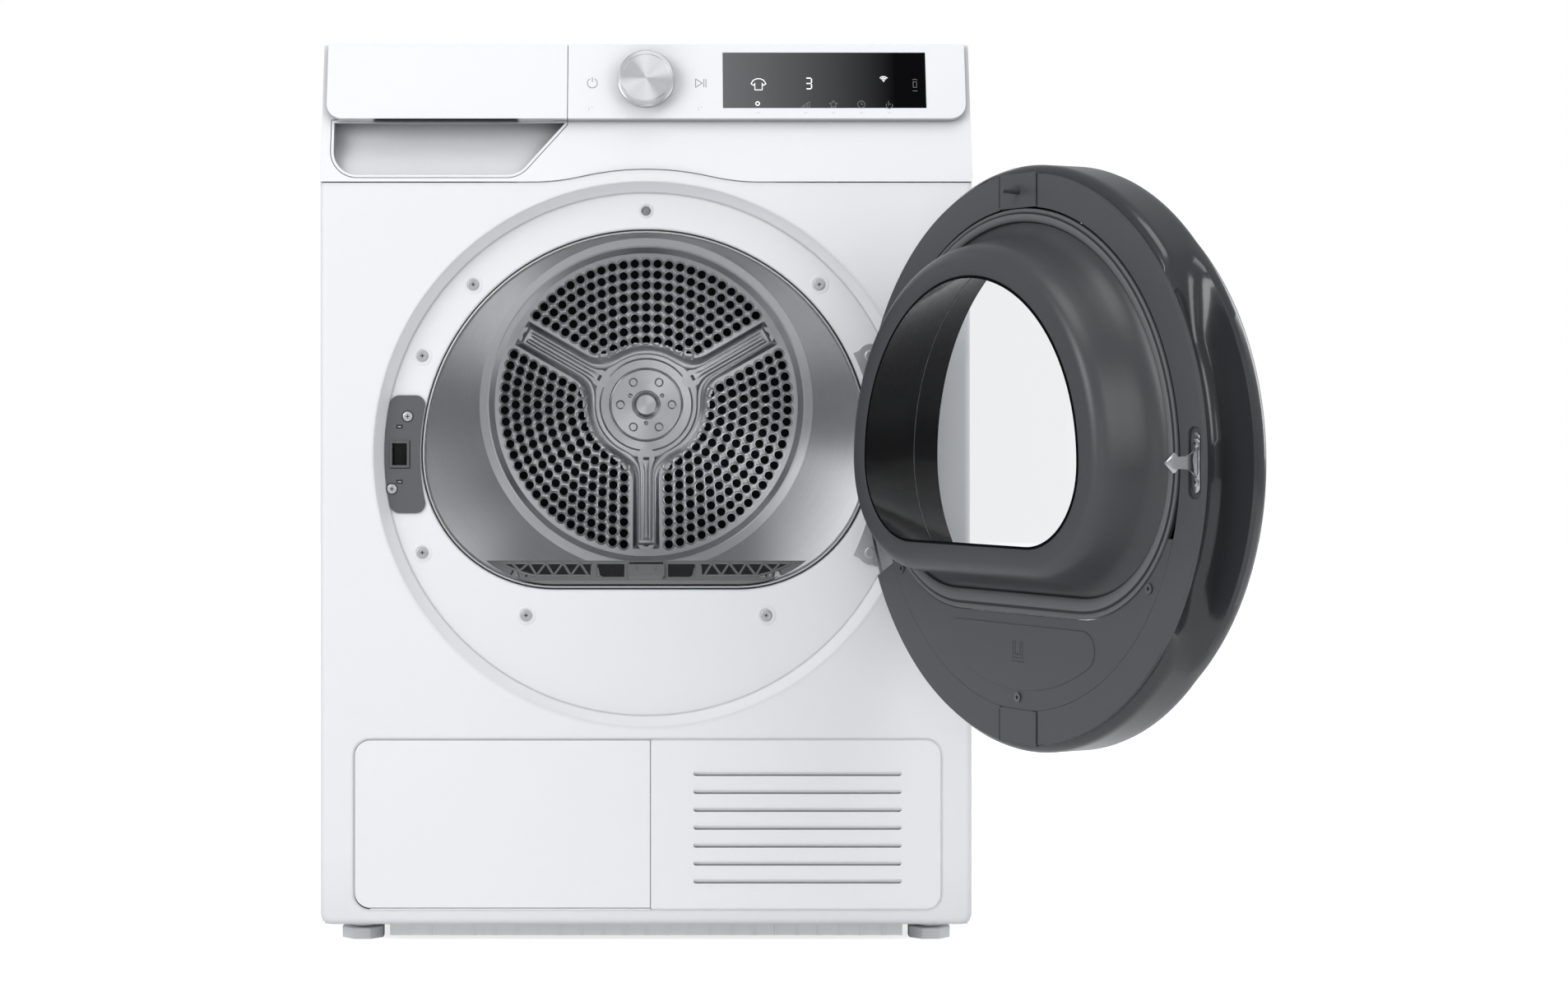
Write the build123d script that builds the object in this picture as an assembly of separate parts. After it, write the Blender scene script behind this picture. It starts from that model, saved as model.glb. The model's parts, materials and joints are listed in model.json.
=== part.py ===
from build123d import *
import os
from math import cos, degrees, pi, radians, sin, sqrt, tan

# A free-standing heat-pump clothes dryer, in millimetres.
# The origin is on the floor, midway between the four feet. +X is to the right of a person facing
# the door, +Y runs from front to back and +Z is up. Depths are measured back from the front panel.

# Cabinet
cabinet_width = 600.0
cabinet_depth = 600.0
cabinet_height = 833.0
panel_bottom = 19.0
seam_height = 702.0
sheet = 1.2
edge_round = 6.0
front_panel_depth = 22.0
slip = 0.3

# Control panel
panel_lean = 16.0
panel_wall = 3.0
panel_depth = 60.0
seam_gap = 1.0
arch_radius = 262.0
arch_blend = 200.0
fascia_proud = 7.3
fascia_chin = 760.0
fascia_half = 295.5
fascia_corner = 15.0
top_cover_drop = 22.0
top_cover_wall = 2.0
drawer_split = -73.0
drawer_gap = 0.6

# Door opening in the front panel
door_height = 452.0
recess_radius = 251.0
recess_floor_radius = 242.0
recess_depth = 15.0
opening_radius = 205.0
opening_flat = 122.0
corner_ease = 2.0
gasket_width = 3.0
sleeve_front = 21.0
sleeve_wall = 1.5

# Door, described closed
door_open_angle = 119.0
hinge_x = 230.0
hinge_forward = 22.0
rim_radius = 246.0
rim_front = 46.0
rim_wall = 3.5
flange_outer = 239.0
flange_inner = 211.0
flange_face = 12.0
flange_thick = 4.0
seal_outer = 209.0
seal_inner = 198.0
seal_flat_outer = 129.5
seal_flat_inner = 112.0
seal_thick = 2.6
bowl_depth = 54.0
bowl_wall = 3.0
lip_radius = 171.0
lip_flat = 90.0
window_radius = 150.0
window_flat = 69.5
funnel_wall = 2.0
funnel_front_radius = 196.5
funnel_front_flat = 132.0
glass_radius = 199.7
glass_thick = 4.0
handle_half_angle = 39.0
handle_bulge = 9.0
tab_width = 51.0
switch_pin_height = 225.0
latch_x = 228.0
pin_radius = 4.0
running = 0.05
knuckle_radius = 7.0
lug_half = 20.0
knuckle_height = 18.0

# Drum
drum_axis_height = 499.0
drum_radius = 275.0
drum_sheet = 1.0
drum_front = 44.0
collar_radius = 264.0
collar_length = 22.0
drum_straight_end = 440.0
cone_inner_radius = 181.0
cone_end = 488.0
back_radius = 165.0
back_depth = 497.0
back_sheet = 1.5
hole_radius = 4.9
hole_rows = 8
outer_row_radius = 154.0
row_pitch = 11.9
hole_arc_pitch = 12.42
outer_row_half_count = 11
hub_radius = 39.0
hub_screw_circle = 56.0
shaft_radius = 10.0
shaft_end = 580.0
lifter_height = 32.0

# Front and rear bulkheads
bulkhead_depth = 40.0
bulkhead_sheet = 1.5
rim_flange_radius = 257.0
rear_bulkhead_depth = 560.0
duct_radius = 205.0

# Drum rollers
roller_radius = 25.0
roller_angle = 38.0
roller_width = 16.0
axle_radius = 5.0

# Drive
motor_x = 170.0
motor_height = 120.0
motor_radius = 60.0
motor_length = 95.0
motor_shaft_radius = 7.0
pulley_radius = 9.0
belt_depth = 402.0
belt_to_motor = 17.0
belt_to_fan = 38.0
belt_width = 12.0
belt_thick = 2.0
idler_x = 90.0
idler_height = 108.0
idler_radius = 16.0
fan_radius = 66.0
fan_width = 45.0

# Heat pump
exchanger_left = -270.0
exchanger_right = -40.0
exchanger_top = 165.0
evaporator_front = 96.0
evaporator_back = 260.0
condenser_front = 280.0
condenser_back = 470.0
fin_pitch = 12.0
fin_gap = 9.0
fin_slot_depth = 130.0
compressor_x = 150.0
compressor_to_motor = 37.0
compressor_radius = 68.0
compressor_top = 196.0
pipe_radius = 4.0

# Base, feet and lower front panel
tray_floor = 16.0
tray_wall = 3.0
tray_top = 62.0
foot_width = 38.0
foot_thick = 10.0
foot_x = 265.0
foot_inset = 54.0
stud_radius = 5.0
stud_top = 36.0
lower_left = -269.0
lower_right = 272.0
lower_bottom = 33.0
lower_top = 190.0
lower_corner = 15.0
lower_split = 3.5
cover_gap = 1.0
cover_thick = 3.5
cover_pivot_depth = 8.0
cover_pivot_height = 56.0
cover_pin_radius = 2.0
louvre_count = 7
louvre_left = 43.5
louvre_right = 235.0
louvre_top = 161.0
louvre_pitch = 16.5
louvre_slot = 5.0

# Water drawer
tank_left = -285.0
tank_right = -85.0
tank_bottom = 712.0
tank_top = 818.0
tank_slope_left = -190.0
tank_slope_right = -100.0
tank_slope_top = 785.0
tank_wall = 2.2
tank_back = 520.0
tank_clear = 1.0
tank_corner = 14.0
scoop_left = -291.0
scoop_bottom = 707.0
scoop_corner = 25.0
scoop_right_low = -117.0
scoop_depth = 34.0
scoop_wall = 2.5

# Knob and display
knob_height = 795.5
knob_radius = 26.0
knob_length = 15.0
encoder_radius = 3.0
board_border = 25.0
display_left = 71.0
display_right = 259.0
display_low = 770.0
display_high = 823.0
display_thick = 1.5

# Lint filter
filter_half = 155.0
blade_half = 120.0
blade_front = 27.5
blade_thick = 8.5
blade_bottom = 190.0
filter_top_front = 331.0
filter_top_back = 350.0
filter_front = 18.0
filter_back = 60.0
mesh_thick = 1.0

front = -cabinet_depth / 2
half_width = cabinet_width / 2
motor_back = belt_depth - belt_to_motor
motor_front = motor_back - motor_length
fan_front = belt_depth + belt_to_fan
fan_back = fan_front + fan_width
compressor_depth = motor_front - compressor_to_motor - compressor_radius
lean = radians(panel_lean)
nodes = {}


def behind(depth):
    """The y of a point this far behind the front panel's face."""
    return front + depth


def polygon(*points):
    return make_face(Polyline(*points, close=True))


def slab(sketch, near, far):
    """A sketch of x and z made solid between two depths."""
    plane = Plane((0, behind(far), 0), x_dir=(1, 0, 0), z_dir=(0, -1, 0))
    return extrude(plane * sketch, amount=far - near)


def strip(sketch, left, right):
    """A sketch of depth and z made solid between two x values."""
    plane = Plane((left, behind(0), 0), x_dir=(0, 1, 0), z_dir=(1, 0, 0))
    return extrude(plane * sketch, amount=right - left)


def block(left, right, near, far, low, high):
    middle = ((left + right) / 2, behind((near + far) / 2), (low + high) / 2)
    return Pos(*middle) * Box(right - left, far - near, high - low)


def turned(points, x, z, start=0.0, sweep=360.0):
    """A profile of radius and depth turned about a front-to-back axis, from the start angle."""
    a = radians(start)
    plane = Plane((x, behind(0), z), x_dir=(cos(a), 0, sin(a)), z_dir=(-sin(a), 0, cos(a)))
    profile = points if isinstance(points, Sketch) else polygon(*points)
    return revolve(plane * profile, Axis((x, 0, z), (0, -1, 0)), revolution_arc=sweep)


def rod_y(x, z, radius, near, far):
    return slab(Pos(x, z) * Circle(radius), near, far)


def rod_x(depth, z, radius, left, right):
    return strip(Pos(depth, z) * Circle(radius), left, right)


def rod_z(x, depth, radius, low, high):
    return Pos(x, behind(depth), (low + high) / 2) * Cylinder(radius, high - low)


def rounded(left, right, low, high, radius):
    middle = Pos((left + right) / 2, (low + high) / 2)
    return middle * RectangleRounded(right - left, high - low, radius)


def d_shape(radius, flat, ease=corner_ease):
    """A circle about the door's centre with a level chord below and wide rounded corners."""
    chord = Pos(0, -flat - radius) * Rectangle(4 * radius, 2 * radius)
    shape = Circle(radius) - chord
    return Pos(0, door_height) * fillet(shape.vertices(), flat - ease)


def d_face(radius, flat, depth):
    plane = Plane((0, behind(depth), 0), x_dir=(1, 0, 0), z_dir=(0, -1, 0))
    return plane * d_shape(radius, flat)


def d_loft(*sections):
    """A body through D shapes, each given as radius, flat and depth."""
    return loft([d_face(*section) for section in sections], ruled=True)


def lean_depth(z):
    """The depth of the control panel's leaning face at a height."""
    return (z - seam_height) * tan(lean)


def lean_plane(z, proud=0.0):
    """A plane on the leaning face, x to the right and y up the slope."""
    out = Vector(0, -cos(lean), sin(lean))
    spot = Vector(0, behind(lean_depth(z)), z) + out * proud
    return Plane(spot, x_dir=(1, 0, 0), z_dir=out)


def on_lean(sketch_of_slope, z, low, high):
    """A sketch on the leaning face made solid between two heights above it."""
    return extrude(lean_plane(z, low) * sketch_of_slope, amount=high - low)


def up_slope(z, from_z):
    return (z - from_z) / cos(lean)


def front_outline(grow=0.0):
    """The front panel seen from the front, with the low arch over the door along its top."""
    body = rounded(-half_width, half_width, panel_bottom, seam_height + 40, 10)
    below = Pos(0, seam_height - 500 + grow) * Rectangle(2 * cabinet_width, 1000)
    arch = Pos(0, door_height) * Circle(arch_radius + grow)
    shape = below + arch
    reach = sqrt((arch_radius + grow) ** 2 - (seam_height + grow - door_height) ** 2)
    meets = [v for v in shape.vertices() if abs(abs(v.X) - reach) < 1 and v.Y > seam_height - 1]
    return fillet(meets, arch_blend) & body


# Screws that hold the recess floor, given from the door's centre
side_screw_x = 207.0
side_screw_up = 91.0
top_screw = (160.0, 157.0)
low_screw = (111.0, -149.0)
screw_head = 5.2
screw_head_thick = 1.8
screw_shank = 2.0
shank_clear = 0.1
shank_length = 6.5
switch_hole = 4.5
latch_hole_width = 13.7
latch_hole_height = 20.3
latch_plate_thick = 1.6
bracket_thick = 2.5

floor_back = recess_depth + sheet
ear_face = recess_depth - bracket_thick
loose_screws = [(side * x, z) for side in (-1, 1) for x, z in (top_screw, low_screw)]
loose_screws += [(-side_screw_x, side_screw_up), (-side_screw_x, -side_screw_up)]
ear_screws = [(side_screw_x, side_screw_up), (side_screw_x, -side_screw_up)]


def round_front_edges(body, reach, radius):
    edges = [e for e in body.edges().filter_by(Axis.Z) if abs(e.center().Y - behind(reach)) < 0.01]
    return fillet(edges, radius)


def make_front_panel():
    outer = round_front_edges(slab(front_outline(), 0, front_panel_depth), 0, edge_round)
    inner_outline = offset(front_outline(), amount=-sheet)
    inner = slab(inner_outline, sheet, front_panel_depth + 1)
    inner = round_front_edges(inner, sheet, edge_round - sheet)
    lip = recess_radius + sheet
    dish = turned(
        [
            (0, recess_depth),
            (recess_floor_radius, recess_depth),
            (recess_radius, 0),
            (lip, 0),
            (lip, sheet),
            (recess_floor_radius + sheet, floor_back),
            (0, floor_back),
        ],
        0,
        door_height,
    )
    panel = outer - inner - rod_y(0, door_height, recess_radius + sheet / 2, -1, sheet + 1) + dish
    panel -= slab(d_shape(opening_radius + gasket_width, opening_flat + gasket_width), 0, 30)
    window = rounded(lower_left, lower_right, lower_bottom, lower_top, lower_corner)
    panel -= slab(window, -1, sheet + 1)
    panel -= rod_y(0, door_height + switch_pin_height, switch_hole, 0, 30)
    half_w = latch_hole_width / 2
    half_h = latch_hole_height / 2
    panel -= block(-latch_x - half_w, -latch_x + half_w, 0, 30, door_height - half_h, door_height + half_h)
    for x, up in loose_screws + ear_screws:
        panel -= rod_y(x, door_height + up, screw_shank + shank_clear, 0, 30)
    return panel


def make_screw(x, z, face):
    head = rod_y(x, z, screw_head, face - screw_head_thick, face)
    rim = head.edges().filter_by(GeomType.CIRCLE).sort_by(Axis.Y)[0]
    head = fillet(rim, screw_head_thick * 0.6)
    socket = rod_y(x, z, screw_head * 0.35, face - screw_head_thick, face - screw_head_thick / 2)
    return head - socket + rod_y(x, z, screw_shank, face - 0.1, recess_depth + shank_length)


def make_panel_screws():
    flush = [make_screw(x, door_height + up, recess_depth) for x, up in loose_screws]
    raised = [make_screw(x, door_height + up, ear_face) for x, up in ear_screws]
    return Compound(children=flush + raised)


def make_opening_gasket():
    outer = d_shape(opening_radius + gasket_width - 0.05, opening_flat + gasket_width - 0.05)
    return slab(outer - d_shape(opening_radius, opening_flat), recess_depth - 0.4, sleeve_front)


def make_latch_plate():
    """A grey banana-shaped plate on the recess floor, with a raised frame round the hook's hole."""
    outer_r = latch_x + 13.5
    inner_r = latch_x - 19.0
    tall = 54.5
    ring = Pos(0, door_height) * (Circle(outer_r) - Circle(inner_r))
    shape = ring & (Pos(-latch_x, door_height) * Rectangle(90, 2 * tall))
    shape = fillet(shape.vertices(), 9)
    near = recess_depth - latch_plate_thick
    half_w = latch_hole_width / 2
    half_h = latch_hole_height / 2
    rim = 2.2
    z = door_height
    plate = slab(shape, near, recess_depth)
    plate += block(
        -latch_x - half_w - rim,
        -latch_x + half_w + rim,
        near - 1.2,
        near + 0.5,
        z - half_h - rim,
        z + half_h + rim,
    )
    plate -= block(-latch_x - half_w, -latch_x + half_w, 0, 30, z - half_h, z + half_h)
    for x, up in ((-latch_x + 7.5, 35.0), (-latch_x - 7.0, -32.0)):
        plate += rod_y(x, z + up, 4.2, near - 1.0, near + 0.5)
    for up in (25.5, -25.5):
        plate -= block(-latch_x - 3, -latch_x + 3, 0, near + 0.8, z + up - 1.8, z + up + 1.8)
    return plate


def make_latch_housing():
    """The catch box behind the floor, open to the front for the hook."""
    half_w = latch_hole_width / 2 + 1.0
    half_h = latch_hole_height / 2 + 1.0
    z = door_height
    wall = 2.0
    far = 50.0
    body = block(
        -latch_x - half_w - wall,
        -latch_x + half_w + wall,
        floor_back,
        far,
        z - half_h - wall,
        z + half_h + wall,
    )
    return body - block(-latch_x - half_w, -latch_x + half_w, 0, far - wall, z - half_h, z + half_h)


def make_door_switch():
    z = door_height + switch_pin_height
    body = block(-11, 11, floor_back, 42, z - 9, z + 9)
    return body - rod_y(0, z, switch_hole, 0, 36)


nodes["front_panel"] = make_front_panel()
nodes["panel_screws"] = make_panel_screws()
nodes["opening_gasket"] = make_opening_gasket()
nodes["door_catch"] = Compound(children=[make_latch_plate(), make_latch_housing()])
nodes["door_switch"] = make_door_switch()

# Cabinet sheets
tray_half = half_width - sheet - slip


def make_side_panel(side):
    top = cabinet_height - top_cover_drop
    outline = polygon(
        (front_panel_depth + slip, panel_bottom),
        (front_panel_depth + slip, seam_height - slip),
        (panel_depth + slip, seam_height - slip),
        (panel_depth + slip, top),
        (cabinet_depth, top),
        (cabinet_depth, panel_bottom),
    )
    outer = side * half_width
    inner = side * (half_width - sheet)
    return strip(outline, min(outer, inner), max(outer, inner))


def make_rear_panel():
    edge = half_width - sheet - slip
    top = cabinet_height - top_cover_drop
    panel = block(-edge, edge, cabinet_depth - sheet, cabinet_depth, panel_bottom, top)
    for row in range(6):
        for column in range(4):
            x = -150 + 100 * column
            z = 560 + 24 * row
            panel -= slab(Pos(x, z) * SlotOverall(70, 7), cabinet_depth - 5, cabinet_depth + 1)
    panel -= rod_y(gland_x, gland_height, gland_radius, cabinet_depth - 5, cabinet_depth + 1)
    panel -= rod_y(drain_x, drain_height, drain_radius + 2, cabinet_depth - 5, cabinet_depth + 1)
    return panel


def make_top_cover():
    low = cabinet_height - top_cover_drop
    near = panel_depth + slip
    body = block(-half_width, half_width, near, cabinet_depth, low, cabinet_height)
    long_edges = body.edges().filter_by(Axis.Y).group_by(Axis.Z)[-1]
    body = fillet(long_edges, 8)
    wall = top_cover_wall
    inside = half_width - wall
    return body - block(-inside, inside, near - 1, cabinet_depth - wall, low - 1, cabinet_height - wall)


def make_louvre_panel():
    left = lower_split + cover_gap
    window = rounded(
        lower_left + cover_gap,
        lower_right - cover_gap,
        lower_bottom + cover_gap,
        lower_top - cover_gap,
        lower_corner - cover_gap,
    )
    right_part = window & (Pos(left + 500, 0) * Rectangle(1000, 2000))
    panel = slab(right_part, 0.6, 3.6)
    backing = Pos((left + lower_right + 6) / 2, (lower_bottom + lower_top) / 2)
    frame = backing * Rectangle(lower_right + 6 - left, lower_top - lower_bottom + 12)
    panel += slab(frame, sheet, 3.6)
    for number in range(louvre_count):
        z = louvre_top - louvre_pitch * number
        middle = (louvre_left + louvre_right) / 2
        slot = Pos(middle, z - louvre_slot / 2) * SlotOverall(louvre_right - louvre_left, louvre_slot)
        panel -= slab(slot, -1, 5)
        blade = polygon((0.7, z + 0.5), (10, z - 7.5), (10, z - 9.0), (0.7, z - 1.0))
        panel += strip(blade, louvre_left, louvre_right) - block(-500, 500, -5, 0.6, 0, 900)
    return panel


def make_base_tray():
    near = front_panel_depth + 2
    far = cabinet_depth - sheet - slip
    floor_top = tray_floor + 4
    body = block(-tray_half, tray_half, near, far, tray_floor, tray_top)
    inside = tray_half - tray_wall
    body -= block(-inside, inside, near + tray_wall, far - tray_wall, floor_top, tray_top + 1)
    body -= block(lower_left - 6, lower_right + 8, near - 1, near + tray_wall + 1, floor_top, tray_top + 1)
    skirt = foot_x - foot_width / 2 - 8
    for depth in (near + 4, far - 10):
        body += block(-skirt, skirt, depth, depth + 6, 5, tray_floor)
        for rib in range(-11, 12):
            body += block(rib * 20 - 1, rib * 20 + 1, depth - 1.2, depth, 5, tray_floor)
    for x, depth in foot_places():
        body += rod_z(x, depth, stud_radius + 7, foot_thick + 1, stud_top - 2)
        body -= rod_z(x, depth, stud_radius + running, 0, stud_top + 4)
    cradle = motor_radius * 0.7
    for depth in (motor_front + 15, motor_back - 25):
        body += block(motor_x - cradle, motor_x + cradle, depth, depth + 10, floor_top, motor_height - 20)
    body -= rod_y(motor_x, motor_height, motor_radius + slip, motor_front - 5, motor_back + 5)
    return body


def foot_places():
    return [(x, d) for x in (-foot_x, foot_x) for d in (foot_inset, cabinet_depth - foot_inset)]


def make_foot(x, depth):
    """An eight-sided pad on a threaded stud."""
    pad = Pos(x, behind(depth), foot_thick / 2)
    across = foot_width / 2 / cos(pi / 8)
    body = pad * extrude(Rot(0, 0, 22.5) * RegularPolygon(across, 8), foot_thick / 2, both=True)
    return body + rod_z(x, depth, stud_radius, foot_thick - 1, stud_top)


gland_x = 210.0
gland_height = 120.0
gland_radius = 9.0
drain_x = -215.0
drain_height = 95.0
drain_radius = 9.0
drain_length = 22.0


def make_mains_gland():
    """The bush through which a mains lead would enter."""
    flange = rod_y(gland_x, gland_height, gland_radius + 6, cabinet_depth, cabinet_depth + 5)
    neck = rod_y(gland_x, gland_height, gland_radius - 0.05, cabinet_depth - 12, cabinet_depth + 1)
    return flange + neck - rod_y(gland_x, gland_height, 4.2, 500, 700)


def make_drain_spigot():
    """A hose spigot for the condensate."""
    far = cabinet_depth + drain_length
    pipe = rod_y(drain_x, drain_height, drain_radius, pump_back, far)
    collar = rod_y(drain_x, drain_height, drain_radius + 5, cabinet_depth, cabinet_depth + 3)
    return pipe + collar - rod_y(drain_x, drain_height, drain_radius - 2, pump_back - 10, far + 1)


pump_back = 575.0
nodes["side_panel_left"] = make_side_panel(-1)
nodes["side_panel_right"] = make_side_panel(1)
nodes["rear_panel"] = make_rear_panel()
nodes["top_cover"] = make_top_cover()
nodes["louvre_panel"] = make_louvre_panel()
nodes["base_tray"] = make_base_tray()
nodes["rear_fittings"] = Compound(children=[make_mains_gland(), make_drain_spigot()])
foot_names = ("foot_front_left", "foot_rear_left", "foot_front_right", "foot_rear_right")
for foot_name, (foot_at_x, foot_at_depth) in zip(foot_names, foot_places()):
    nodes[foot_name] = make_foot(foot_at_x, foot_at_depth)

# Control panel, knob and display


def fascia_sketch(left, right, round_left, round_right):
    """The raised upper band, on the slope from its chin, with the outer lower corners rounded."""
    tall = up_slope(cabinet_height, fascia_chin)
    shape = Pos((left + right) / 2, tall / 2) * Rectangle(right - left, tall)
    low = shape.vertices().group_by(Axis.Y)[0].sort_by(Axis.X)
    corners = []
    if round_left:
        corners.append(low[0])
    if round_right:
        corners.append(low[-1])
    return fillet(corners, fascia_corner)


def below_top(body):
    return body - block(-400, 400, -200, 400, cabinet_height, cabinet_height + 100)


def soften_chin(body):
    """Rounds the long front edge along the chin."""
    front_edges = body.edges().filter_by(GeomType.LINE).filter_by(Axis.X).group_by(Axis.Z)[0]
    return fillet(front_edges.sort_by(Axis.Y)[0], 3)


def scoop_outline(grow=0.0):
    """The finger scoop of the water drawer seen from the front."""
    shape = polygon(
        (scoop_left, fascia_chin + 1),
        (scoop_left, scoop_bottom),
        (scoop_right_low, scoop_bottom),
        (drawer_split, fascia_chin - 3),
        (drawer_split, fascia_chin + 1),
    )
    low = shape.vertices().group_by(Axis.Y)[0].sort_by(Axis.X)
    shape = fillet(low, scoop_corner)
    return offset(shape, amount=grow) if grow else shape


def make_control_panel():
    base = seam_height + seam_gap
    wall = panel_wall
    ends = half_width - wall
    top = cabinet_height
    skin = wall / cos(lean)
    outer = strip(
        polygon((lean_depth(base), base), (lean_depth(top), top), (panel_depth, top), (panel_depth, base)),
        -half_width,
        half_width,
    )
    inner = strip(
        polygon(
            (lean_depth(base - 2) + skin, base - 2),
            (lean_depth(top - wall) + skin, top - wall),
            (panel_depth + 1, top - wall),
            (panel_depth + 1, base - 2),
        ),
        -ends,
        ends,
    )
    panel = outer - inner
    panel -= slab(front_outline(seam_gap), -5, panel_depth + 5)
    right_fascia = fascia_sketch(drawer_split + drawer_gap, fascia_half, False, True)
    panel += soften_chin(below_top(on_lean(right_fascia, fascia_chin, -0.5, fascia_proud)))
    panel -= slab(scoop_outline(drawer_gap), -5, panel_depth + 1)
    throat_left = tank_left - tank_clear
    throat_right = tank_right + tank_clear
    panel -= block(throat_left, throat_right, -5, panel_depth + 1, fascia_chin - 5, tank_top + tank_clear)
    tall = up_slope(display_high, display_low)
    middle = (display_left + display_right) / 2
    recess = Pos(middle, tall / 2) * Rectangle(display_right - display_left, tall)
    panel -= on_lean(recess, display_low, fascia_proud - display_thick, fascia_proud + 1)
    panel -= on_lean(Circle(encoder_radius + 2), knob_height, -20, 20)
    return panel


def make_display_window():
    tall = up_slope(display_high, display_low)
    middle = (display_left + display_right) / 2
    glass = Pos(middle, tall / 2) * Rectangle(display_right - display_left - 0.4, tall - 0.4)
    return on_lean(glass, display_low, fascia_proud - display_thick, fascia_proud + 0.2)


def make_control_board():
    """The board behind the fascia, with the turning encoder's fixed body and its stand-offs."""
    low = min(display_low, knob_height - board_border)
    tall = up_slope(max(display_high, knob_height + board_border), low)
    left = -encoder_radius - 2 * board_border
    right = display_right + board_border / 4
    sheet_sketch = Pos((left + right) / 2, tall / 2) * Rectangle(right - left, tall)
    board = on_lean(sheet_sketch, low, -panel_wall - 9.6, -panel_wall - 8)
    board += on_lean(Rectangle(14, 14), knob_height, -panel_wall - 8.2, -panel_wall - 2)
    board += on_lean(Circle(encoder_radius), knob_height, -panel_wall - 3, fascia_proud + 9)
    for x in (left + 6, right - 6):
        for up in (6, tall - 6):
            board += on_lean(Pos(x, up) * Circle(3), low, -panel_wall - 8.2, -panel_wall)
    return board


def make_knob():
    """A round knob with a slightly dished spun face and a blind bore for its shaft."""
    start = fascia_proud + 0.4
    skirt = on_lean(Circle(knob_radius), knob_height, start, start + 3)
    grip = on_lean(Circle(knob_radius - 0.8), knob_height, start + 2.9, start + knob_length)
    face = grip.edges().filter_by(GeomType.CIRCLE).sort_by(Axis.Y)[0]
    grip = chamfer(face, 1.0)
    body = skirt + grip
    body -= on_lean(
        Circle(knob_radius - 5), knob_height, start + knob_length - 0.5, start + knob_length + 2
    )
    return body - on_lean(Circle(encoder_radius + running), knob_height, start - 1, fascia_proud + 9.5)


nodes["control_panel"] = make_control_panel()
nodes["display_window"] = make_display_window()
nodes["control_board"] = make_control_board()
nodes["control_knob"] = make_knob()

# Water drawer


def tank_section(grow=0.0):
    shape = polygon(
        (tank_left, tank_bottom + tank_corner),
        (tank_left + tank_corner, tank_bottom),
        (tank_slope_left, tank_bottom),
        (tank_slope_right, tank_slope_top),
        (tank_right, tank_slope_top),
        (tank_right, tank_top),
        (tank_left, tank_top),
    )
    return offset(shape, amount=grow, kind=Kind.INTERSECTION) if grow else shape


def make_drawer_front():
    """The drawer's face: a raised slab above and a hollow finger scoop below it."""
    slab_sketch = fascia_sketch(-fascia_half, drawer_split, True, False)
    face = soften_chin(below_top(on_lean(slab_sketch, fascia_chin, 0, fascia_proud)))
    foot_depth = lean_depth(scoop_bottom)
    lip = ThreePointArc(
        (foot_depth + 1, scoop_bottom + scoop_wall * 0.4),
        (scoop_depth * 0.66, scoop_bottom + 21),
        (scoop_depth, fascia_chin),
    )
    hollow = make_face(
        lip + Polyline((scoop_depth, fascia_chin), (-60, fascia_chin), (-60, scoop_bottom), lip @ 0)
    )
    shell = make_face(
        ThreePointArc(
            (foot_depth, scoop_bottom - scoop_wall),
            (scoop_depth * 0.66 + scoop_wall, scoop_bottom + 18),
            (scoop_depth + scoop_wall, fascia_chin),
        )
        + Polyline(
            (scoop_depth + scoop_wall, fascia_chin),
            (scoop_depth + scoop_wall, fascia_chin + scoop_wall),
            (lean_depth(fascia_chin + scoop_wall), fascia_chin + scoop_wall),
            (foot_depth, scoop_bottom - scoop_wall),
        )
    )
    cup_outline = scoop_outline() + block_outline(tank_left, tank_right, fascia_chin, fascia_chin + 4)
    cup = slab(cup_outline, -5, panel_depth) & strip(shell, scoop_left - 5, drawer_split + 5)
    cup -= slab(scoop_outline(-scoop_wall), -60, panel_depth) & strip(
        hollow, scoop_left - 5, drawer_split + 5
    )
    neck = lean_depth(fascia_chin)
    tie = block(tank_left, tank_right, neck - 2, neck + 8, fascia_chin + 0.2, fascia_chin + scoop_wall)
    return face + cup + tie


def block_outline(left, right, low, high):
    return Pos((left + right) / 2, (low + high) / 2) * Rectangle(right - left, high - low)


def make_water_tank():
    """A hollow tank with its sloped side over the drum and a hollow neck up to the drawer's face."""
    near = panel_depth + 2
    tank = slab(tank_section(), near, tank_back)
    tank -= slab(tank_section(-tank_wall), near + tank_wall, tank_back - tank_wall)
    low = fascia_chin + scoop_wall + 1
    high = tank_top
    wall = tank_wall
    neck = polygon((lean_depth(low), low), (lean_depth(high), high), (near + 0.1, high), (near + 0.1, low))
    bore = polygon(
        (-20, low + wall), (-20, high - wall), (near - wall, high - wall), (near - wall, low + wall)
    )
    tube = strip(neck, tank_left, tank_right) - strip(bore, tank_left + wall, tank_right - wall)
    tank += tube & slab(tank_section(), 0, near + 1)
    fill = Pos((tank_left + tank_slope_left) / 2, behind(tank_back - 60), tank_top)
    return tank - fill * Cylinder(14, 12)


def make_tank_housing():
    """The open-fronted tray that carries the tank, hung from the top cover."""
    near = panel_depth + slip
    far = tank_back + tank_clear + 2
    wall = 2.0
    outer = tank_section(tank_clear + wall)
    body = slab(outer, near, far) - slab(tank_section(tank_clear), near - 1, far - wall)
    fill_x = (tank_left + tank_slope_left) / 2
    body -= rod_z(fill_x, tank_back - 60, 12, tank_top, tank_top + 20)
    roof = tank_top + tank_clear + wall
    for depth in (near + 30, far - 30):
        body += block(
            tank_left, tank_right, depth, depth + wall, roof - 0.5, cabinet_height - top_cover_wall
        )
    return body


nodes["drawer_front"] = make_drawer_front()
nodes["water_tank"] = make_water_tank()
nodes["tank_housing"] = make_tank_housing()

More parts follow.
